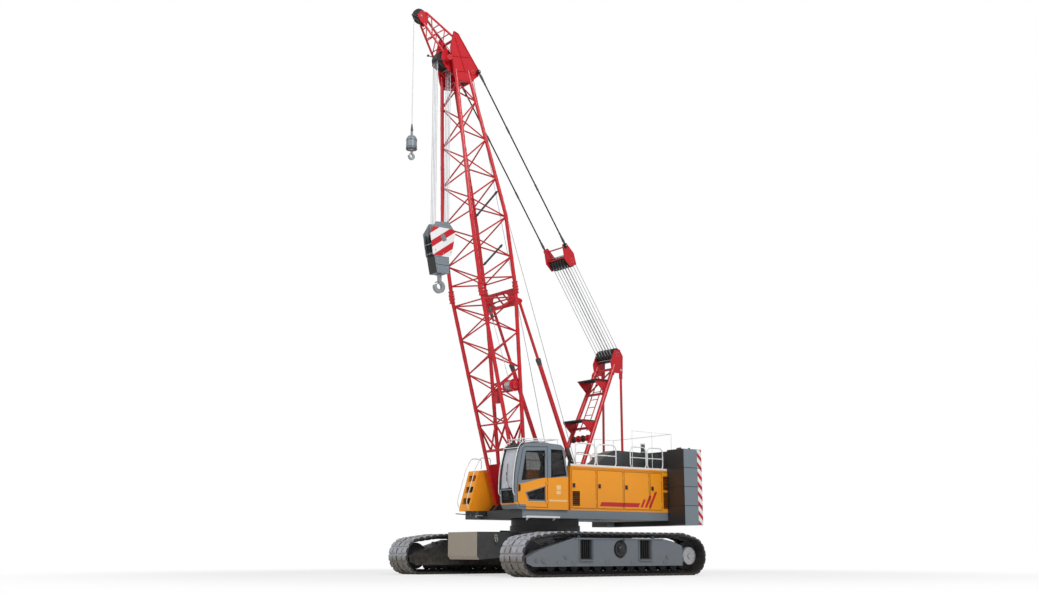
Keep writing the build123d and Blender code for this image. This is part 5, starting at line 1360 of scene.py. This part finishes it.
stay = {
    "foot": (-0.52, 3.66), "eye": (6.62, -0.86), "y": 0.733,
    # start and end along the tube, inner and outer radius
    "collars": ((3.42, 3.548, 0.057, 0.088), (3.32, 3.42, 0.07, 0.08), (0.2, 0.42, 0.07, 0.081)),
}
footX, footZ = stay["foot"]
stayWay = unit(onBoom(stay["eye"][0], 0.0, stay["eye"][1]) - (footX, 0, footZ))
glandParts, footParts = [], []
for side in (1, -1):
    foot = np.array([footX, side * stay["y"], footZ])
    for start, end, *radii in stay["collars"]:
        glandParts.append(sleeve(foot + stayWay * start, foot + stayWay * end, *radii, 28))
    footParts += pinHeads([(footX, stay["y"] + 0.058, footZ, 0.0, 1, 0.062, 0.02)], side)
makePiece("strutCollars", glandParts, "charcoal", "backstop_tubes")
makePiece("strutFootPins", footParts, "steel", "superstructure")

yoke = {
    "pin": (-0.83, 10.55), "keeper": 0.25, "keeperAngles": (0.9, 1.4), "y": 0.505,
    "ear": ((-1.01, 10.42), (-0.76, 10.33), (-0.52, 10.56), (-0.43, 11.05), (-0.56, 11.12), (-0.9, 10.8)),
    "pins": ((-0.83, 0.525, 10.55, 0.07, 6, 0.022, 0.012), (-0.52, 0.605, 11.01, 0.0, 1, 0.056, 0.014)),
}
yokeParts, yokeRed = [], []
for angle in yoke["keeperAngles"]:
    yokeParts.append(crossBar(about(yoke["pin"], yoke["keeper"], angle), 0.49, 0.012))
pinX, pinZ = yoke["pin"]
for side in (1, -1):
    yokeParts += pinHeads(yoke["pins"], side)
    yokeRed.append(strip(atSide(yoke["ear"], side * yoke["y"]), 0.007, 0.026, True))
    yokeRed.append(sleeve((pinX, side * 0.46, pinZ), (pinX, side * 0.487, pinZ), 0.046, 0.11))
makePiece("bridleKeepers", yokeParts, "steel", "bridle")
makePiece("bridleRims", yokeRed, "red", "bridle")

link = {
    "ends": ((-0.52, 0.555, 11.01), (3.17, 0.555, 16.44)), "splices": (0.34, 0.67),
    "socket": 0.34, "radii": (0.03, 0.045, 0.034, 0.029),
}
linkParts = []
lower, upper = np.array(link["ends"])
way = unit(upper - lower)
for start, direction in ((lower, way), (upper, -way)):
    # spelter socket: tapers from the pin disc to the strand
    first, last = start + direction * 0.075, start + direction * (0.075 + link["socket"])
    path = [first, first + direction * 0.1, last - direction * 0.06, last]
    linkParts.append(tapered(path, link["radii"], 18))
    linkParts.append(sleeve(last + direction * 0.02, last + direction * 0.07, 0.022, 0.034, 16))
for share in link["splices"]:
    middle = lower + (upper - lower) * share
    linkParts.append(sleeve(middle - way * 0.12, middle + way * 0.12, 0.022, 0.033, 16))
makePiece("pendantSockets", [bothSides(*linkParts)], "charcoal", "bridle")
print("luffing gear trimmed")


# boom

boom = {
    # along, half width, half depth: foot, pinned joint, end of the parallel run, head
    "stations": ((1.25, 0.7, 0.205), (7.06, 0.84, 0.695), (9.5, 0.84, 0.695), (14.3, 0.43, 0.26)),
    "collars": ((6.975, 7.045), (7.075, 7.145), (6.86, 6.885), (7.235, 7.26)), "pins": (7.01, 7.11),
    # first and last joint of the lacing, number of joints, half length of a gusset
    "gussets": ((2.75, 6.75, 8, 0.09), (7.42, 14.08, 11, 0.08)),
}
chords = [(across, forward) for across in (1, -1) for forward in (1, -1)]


def onChord(along, across, forward):  # half width and half depth follow the distance up the boom
    stations, widths, depths = np.array(boom["stations"]).T
    width, depth = [np.interp(along, stations, sizes) for sizes in (widths, depths)]
    return onBoom(along, across * width, forward * depth)


jointParts, jointPins = [], []
for across, forward in chords:
    width, depth = across * 0.84, forward * 0.695
    for low, high in boom["collars"]:
        jointParts.append(sleeve(onBoom(low, width, depth), onBoom(high, width, depth), 0.07, 0.1))
    for at in boom["pins"]:
        middle = onBoom(at, width, depth)
        jointPins.append(rod(middle - (0, 0.128, 0), middle + (0, 0.128, 0), 0.02, 10))
        jointPins.append(boltHeads([middle + (0, 0.115, 0)], 0.05, 0.02))
for across, forward in chords:
    # small gussets where lacing bars meet the chords
    for first, last, count, half in boom["gussets"]:
        for along in np.linspace(first, last, count)[:-1]:
            low, high = [onChord(along + end, across, forward) for end in (-half, half)]
            jointParts.append(sleeve(low, high, 0.05, 0.0665, 14, 0.002))
makePiece("chordCollars", jointParts, "red", "boom")
makePiece("jointPins", jointPins, "steel", "boom")

# two thick bars in dark paint along the upper lacing, with a collar near each end
darkBars = {"radius": 0.034, "runs": ((9.42, 0.1, 10.27, 0.88), (7.83, 0.14, 8.47, 0.74)), "across": 0.055}
darkBarParts = []
for lowAlong, lowShare, highAlong, highShare in darkBars["runs"]:
    low = onChord(lowAlong, 1, 1 - 2 * lowShare) + (0, darkBars["across"], 0)
    high = onChord(highAlong, 1, 1 - 2 * highShare) + (0, darkBars["across"], 0)
    way = unit(high - low)
    darkBarParts.append(rod(low, high, darkBars["radius"], 12))
    for start, direction in ((low, way), (high, -way)):
        darkBarParts.append(sleeve(start + direction * 0.06, start + direction * 0.1, 0.03, 0.044, 14))
makePiece("darkDiagonalBars", darkBarParts, "black", "boom")

tag = {
    "winch": (3.91, -0.26), "leave": (4.05, 0.48, -0.21), "socket": (6.05, 0.2, -0.1),
    "anchor": (6.75, 0.15, -0.5), "radii": (0.014, 0.05, 0.06, 0.03), "ropeRadius": 0.009,
    "spool": 0.145, "run": (0.305, 0.655), "pitch": 0.022,
    "cheeks": ((0.712, 1), (0.248, -1)), "case": (3.62, 0.52, 0.36),
}
leave, socketLow = onBoom(*tag["leave"]), onBoom(*tag["socket"])
way = unit(socketLow - leave)
socketHigh = socketLow + way * 0.5
socketPath = [socketLow, socketLow + way * 0.16, socketHigh - way * 0.12, socketHigh]
socketParts = [tapered(socketPath, tag["radii"], 16), rod(socketHigh, onBoom(*tag["anchor"]), 0.016, 8)]
makePiece("tagSocket", socketParts, "charcoal", "boom")
makePiece("tagLine", [rod(leave, socketLow, tag["ropeRadius"], 8)], "rope", "boom")
# rope on the spool: radius = spool + 0.008 |sin(pi y / pitch)|, turns side by side along the barrel
spoolAlong, spoolOut = tag["winch"]
across = np.arange(*tag["run"], 0.006)[:, None]
turn = np.linspace(0, 2 * np.pi, 36, endpoint=False)
spool = tag["spool"] + 0.008 * np.abs(np.sin(np.pi * across / tag["pitch"]))
spoolPoints = onBoom(spoolAlong + spool * np.cos(turn), across, spoolOut + spool * np.sin(turn))
makePiece("tagWinding", [gridPart(spoolPoints)], "rope", "boom", 60)
cheekBolts = []
for y, out in tag["cheeks"]:
    for angle in np.arange(8) * math.pi / 4:
        place = onBoom(spoolAlong + 0.1 * math.cos(angle), y, spoolOut + 0.1 * math.sin(angle) - 0.02)
        cheekBolts.append(boltHeads([place], 0.024, 0.014, "y", out))
makePiece("tagWinchBolts", cheekBolts, "steel", "boom")
# equipment box on the front lacing, low on the left
boxMiddle = onBoom(*tag["case"])
caseParts = [
    block(boxMiddle - (0.07, 0.1, 0.24), boxMiddle + (0.07, 0.1, 0.24), 0.015),
    block(boxMiddle + (0.07, -0.08, -0.2), boxMiddle + (0.078, 0.08, 0.2), 0.006),
]
makePiece("boomCase", caseParts, "red", "boom")
print("boom sections trimmed")

head = {
    "outline": ((14.13, -0.31), (14.33, -0.62), (14.56, -0.64), (15.74, -0.01),
                (15.82, 0.14), (15.25, 0.36), (14.33, 0.34), (14.13, 0.31)),
    "rimY": 0.442, "ribY": 0.455,
    "ribs": ((14.45, -0.5, 14.45, 0.3), (14.95, -0.33, 14.95, 0.3), (14.45, -0.1, 15.6, 0.12)),
    "pins": ((4.27, 0.469, 16.72, 0.075, 6, 0.022, 0.012), (3.35, 0.469, 16.41, 0.065, 6, 0.022, 0.012),
             (3.17, 0.61, 16.44, 0.0, 1, 0.056, 0.016), (5.175, 0.09, 18.07, 0.05, 6, 0.02, 0.01),
             (5.175, 0.09, 18.07, 0.0, 1, 0.06, 0.02)),
    # rope keepers: sheave centre, reach, half span, angles
    "keepers": (((4.27, 16.72), 0.322, 0.204, (1.8, 4.2)), ((3.35, 16.41), 0.305, 0.413, (1.8, 5.3)),
                ((5.175, 18.07), 0.287, 0.062, (4.0,))),
    "arms": (((4.34, 0.24, 16.64), (5.0, 0.24, 16.66)), ((5.22, 0.075, 17.99), (5.52, 0.075, 18.02))),
    "ropes": (((3.29, 0.12, 16.643), (4.2, 0.132, 16.966)), ((3.25, -0.12, 16.633), (5.1, 0.0, 18.277))),
}
headParts, headSteel, armParts = [], [], []
alongRim, outRim = np.array(head["outline"]).T
for side in (1, -1):
    headParts.append(strip(onBoom(alongRim, side * head["rimY"], outRim), 0.0075, 0.035, True))
    for low, near, high, far in head["ribs"]:
        ends = [onBoom(low, side * head["ribY"], near), onBoom(high, side * head["ribY"], far)]
        headParts.append(strip(ends, 0.01, 0.016))
    headSteel += pinHeads(head["pins"], side)
for centre, reach, halfSpan, angles in head["keepers"]:
    headSteel += [crossBar(about(centre, reach, angle), halfSpan, 0.012) for angle in angles]
makePiece("headRims", headParts, "red", "boom")
makePiece("headPins", headSteel, "steel", "boom")
for start, end in np.array(head["arms"]):
    armParts += [rod(start, end, 0.017), sleeve(end - unit(end - start) * 0.05, end, 0.01, 0.04, 14)]
makePiece("limitArms", armParts, "charcoal", "boom")
makePiece("headRopes", [rod(*ends, 0.011) for ends in head["ropes"]], "rope", "boom")
print("boom head trimmed")


# hook blocks

hookBlock = {
    "x": 4.27, "sheaveZ": 10.6, "cheek": 0.225,
    "cheekPins": ((-0.28, 10.16), (0.3, 10.16), (0.0, 10.08), (-0.18, 11.06), (0.22, 11.02), (0.05, 11.08)),
    "weightPins": ((-0.16, 9.62), (0.2, 9.6), (-0.18, 9.86), (0.24, 9.86)), "keeperTilt": -0.5,
    "seam": ((-0.235, 9.71), (0.275, 9.7)), "barReach": 0.345, "barAngles": (0.15, 1.0, 2.2, 3.0),
    "hood": ((-0.19, -0.16), (-0.018, 0.018), (0.16, 0.19)), "hoodTurn": (0.75, 2.4),
    "guards": (((0.36, 10.02), (0.475, 10.7)), ((-0.33, 10.06), (-0.455, 10.82))), "rungs": (0.05, 0.5, 0.95),
    "clips": ((0.255, 0.132), (-0.255, -0.132)),
}
blockX, blockZ = hookBlock["x"], hookBlock["sheaveZ"]
blockSteel, blockGrey, blockDark = [], [], []
cosTilt, sinTilt = math.cos(hookBlock["keeperTilt"]), math.sin(hookBlock["keeperTilt"])
corners = np.array(rectangle(0, 0, 0.075, 0.11)) @ [[cosTilt, sinTilt], [-sinTilt, cosTilt]]
for side in (1, -1):
    y = side * hookBlock["cheek"]
    blockSteel.append(hexBolts((blockX, y, blockZ), 0.09, 8, 0.026, 0.014, "y", side))
    for name, *size in (("cheekPins", 0.046, 0.02), ("weightPins", 0.05, 0.026)):
        blockSteel += [hexBolts((blockX + x, y, z), 0.0, 1, *size, "y", side) for x, z in hookBlock[name]]
    # keeper plate over the sheave pin
    blockGrey.append(slab(corners + (blockX, blockZ), y, y + side * 0.022, "y", 0.006))
    # joint between two of the cheek weights
    blockDark.append(rod(*[(blockX + x, side * 0.226, z) for x, z in hookBlock["seam"]], 0.007, 6))
for angle in hookBlock["barAngles"]:  # between the cheeks, outside the sheaves
    blockSteel.append(crossBar(about((blockX, blockZ), hookBlock["barReach"], angle), 0.195, 0.014))
turn = np.linspace(*hookBlock["hoodTurn"], 12)
for right, left in hookBlock["hood"]:
    # bent strips over the sheaves, open where the ropes run
    path = placed(blockX + 0.42 * np.cos(turn), blockZ + 0.02 + 0.46 * np.sin(turn), (left + right) / 2, "y")
    blockGrey.append(strip(path, (left - right) / 2, 0.006))
for low, high in np.array(hookBlock["guards"]) + (blockX, 0):
    # guards ahead of and behind the sheaves: two straps and their cross bars
    blockDark += [strip(atSide([low, high], y), 0.02, 0.006) for y in (-0.09, 0.09)]
    blockSteel += [crossBar(low + (high - low) * share, 0.196, 0.016, 10) for share in hookBlock["rungs"]]
makePiece("blockBolts", blockSteel, "steel", "main_block")
makePiece("blockPlates", blockGrey, "slate", "main_block")
makePiece("blockGuard", blockDark, "black", "main_block")


def hookTrim(x, z, size, bearing, name, body):
    # latch across the throat and the nut's collar above the shank
    hinge = np.array([x - 0.17 * size, 0.0, z + 0.62 * size])
    tip = np.array([x + 0.44 * size, 0.0, z + 0.34 * size])
    run = unit(tip - hinge)
    rise = np.array([-run[2], 0, run[0]])
    path = [hinge + rise * 0.012, hinge + run * 0.1 * size + rise * 0.05 * size, tip + rise * 0.012]
    rows = [(0.2 * size, 0), (0.27 * size, 0.02), (0.27 * size, 0.05), (0.2 * size, 0.07)]
    collar = turned(rows, (x, 0, z + bearing), "z", 28)
    spring = rod(hinge - (0, 0.15 * size, 0), hinge + (0, 0.15 * size, 0), 0.028 * size, 10)
    makePiece(name, [strip(path, 0.06 * size, 0.006), collar, spring], "steel", body)


ball = {
    "x": 5.395, "bolts": 13.85, "socketZ": (14.0, 14.06, 14.2, 14.27), "radii": (0.03, 0.045, 0.028, 0.018),
    # bottom, top, inner and outer radius, eased edge
    "rings": ((13.47, 13.488, 0.17, 0.18, 0.002), (13.7, 13.718, 0.17, 0.18, 0.002),
              (13.395, 13.45, 0.12, 0.182, 0.012)),
}
hookTrim(blockX, 9.02, 0.33, 0.345, "mainHookLatch", "main_hook")
hookTrim(ball["x"], 13.17, 0.19, 0.205, "auxiliaryHookLatch", "auxiliary_hook")
x = ball["x"]
ballParts = []
for low, high, inner, outer, edge in ball["rings"]:
    ballParts.append(sleeve((x, 0, low), (x, 0, high), inner, outer, 36, edge))
ballParts.append(hexBolts((x, 0, ball["bolts"]), 0.085, 6, 0.024, 0.014, "z"))
ballParts.append(tapered([(x, 0, z) for z in ball["socketZ"]], ball["radii"], 18))
makePiece("weightRings", ballParts, "charcoal", "auxiliary_weight")
clips = []
for x, y in hookBlock["clips"]:
    clips.append(sleeve((blockX + x, y, 10.98), (blockX + x, y, 11.04), 0.009, 0.02, 12, 0.002))
makePiece("fallClips", clips, "steel", "main_block")
print("hook blocks fitted")

# camera, floor and light

view = {"place": (24.876, 31.682, 0.704), "turn": -126.93, "rise": 11.96, "lens": 41.83}
camera = bpy.data.objects.new("camera", bpy.data.cameras.new("camera"))
bpy.context.scene.collection.objects.link(camera)
camera.data.lens, camera.data.sensor_width = view["lens"], 36.0
camera.data.clip_end = 400.0
camera.location = view["place"]
turn, rise = math.radians(view["turn"]), math.radians(view["rise"])
ahead = Vector((math.cos(rise) * math.cos(turn), math.cos(rise) * math.sin(turn), math.sin(rise)))
camera.rotation_mode = "QUATERNION"
camera.rotation_quaternion = ahead.to_track_quat("-Z", "Y")
bpy.context.scene.camera = camera

studio = {
    "floorHalf": 160.0, "floorTone": 0.86, "floorLevel": -0.002, "whiteShare": 0.55, "fade": (8.0, 20.0),
    "sky": 0.36, "mirror": 0.55,
}


def floorPaint():
    # diffuse floor that keeps the shadow; what the camera sees turns to plain white away from the tracks
    paint = Paint("studioFloor")
    cloud = paint.noise(0.8, 3.0, 0.5)
    paint.done(Base_Color=paint.shade((studio["floorTone"],) * 3, 0.99 + cloud * 0.02), Roughness=0.9)
    away = (paint.x * paint.x + paint.y * paint.y) ** 0.5
    seen = paint.add("ShaderNodeLightPath", {}, {}, "Is Camera Ray")
    share = (studio["whiteShare"] + away.eased(*studio["fade"]) * (1 - studio["whiteShare"])) * seen
    white = paint.add("ShaderNodeEmission", {}, {"Color": (1, 1, 1, 1), "Strength": 1.0})
    mix = paint.add("ShaderNodeMixShader", {}, {0: share, 1: Wire(paint, paint.shader.outputs[0]), 2: white})
    paint.tree.links.new(mix.socket, paint.sheet.inputs["Surface"])
    return paint.material


gridLine = np.linspace(-studio["floorHalf"], studio["floorHalf"], 9)
floorPoints = placed(gridLine[:, None], gridLine[None, :], 0.0, "z")
floorMesh = bpy.data.meshes.new("studioFloor")
floorPart = flipped(gridPart(floorPoints, wrapColumns=False, capped=False))
floorMesh.from_pydata(floorPart[0].tolist(), [], floorPart[1].reshape(-1, 4).tolist())
floorMesh.materials.append(floorPaint())
floorPiece = bpy.data.objects.new("studioFloor", floorMesh)
floorPiece.location.z = studio["floorLevel"]
bpy.context.scene.collection.objects.link(floorPiece)

world = bpy.data.worlds.new("studioSky")
bpy.context.scene.world = world
world.use_nodes = True
sky = Nodes(world.node_tree)
camRay, glossyRay, clearRay = [
    sky.add("ShaderNodeLightPath", {}, {}, kind)
    for kind in ("Is Camera Ray", "Is Glossy Ray", "Is Transmission Ray")
]
dimmed, mirror, bright = [
    sky.add("ShaderNodeBackground", {}, {"Color": (1, 1, 1, 1), "Strength": strength})
    for strength in (studio["sky"], studio["mirror"], 1.0)
]
lit = sky.add("ShaderNodeMixShader", {}, {0: glossyRay.larger(clearRay), 1: dimmed, 2: mirror})
whole = sky.add("ShaderNodeMixShader", {}, {0: camRay, 1: lit, 2: bright})
sky.tree.links.new(whole.socket, sky.tree.nodes["World Output"].inputs["Surface"])

lamps = {  # place, aim, side of the panel, power
    "keyPanel": ((10.0, 30.0, 30.0), (0.0, 0.0, 6.0), 12.0, 8200.0),
    "fillPanel": ((32.0, 2.0, 20.0), (0.0, 0.0, 6.0), 12.0, 2200.0),
    "backPanel": ((-26.0, -14.0, 26.0), (0.0, 0.0, 7.0), 12.0, 2600.0),
}
for name, (place, aim, size, power) in lamps.items():
    lamp = bpy.data.objects.new(name, bpy.data.lights.new(name, "AREA"))
    lamp.data.size, lamp.data.energy = size, power
    lamp.location = place
    lamp.rotation_mode = "QUATERNION"
    lamp.rotation_quaternion = (Vector(aim) - Vector(place)).to_track_quat("-Z", "Y")
    bpy.context.scene.collection.objects.link(lamp)
bpy.context.scene.view_settings.view_transform = "Standard"
print("studio lit")
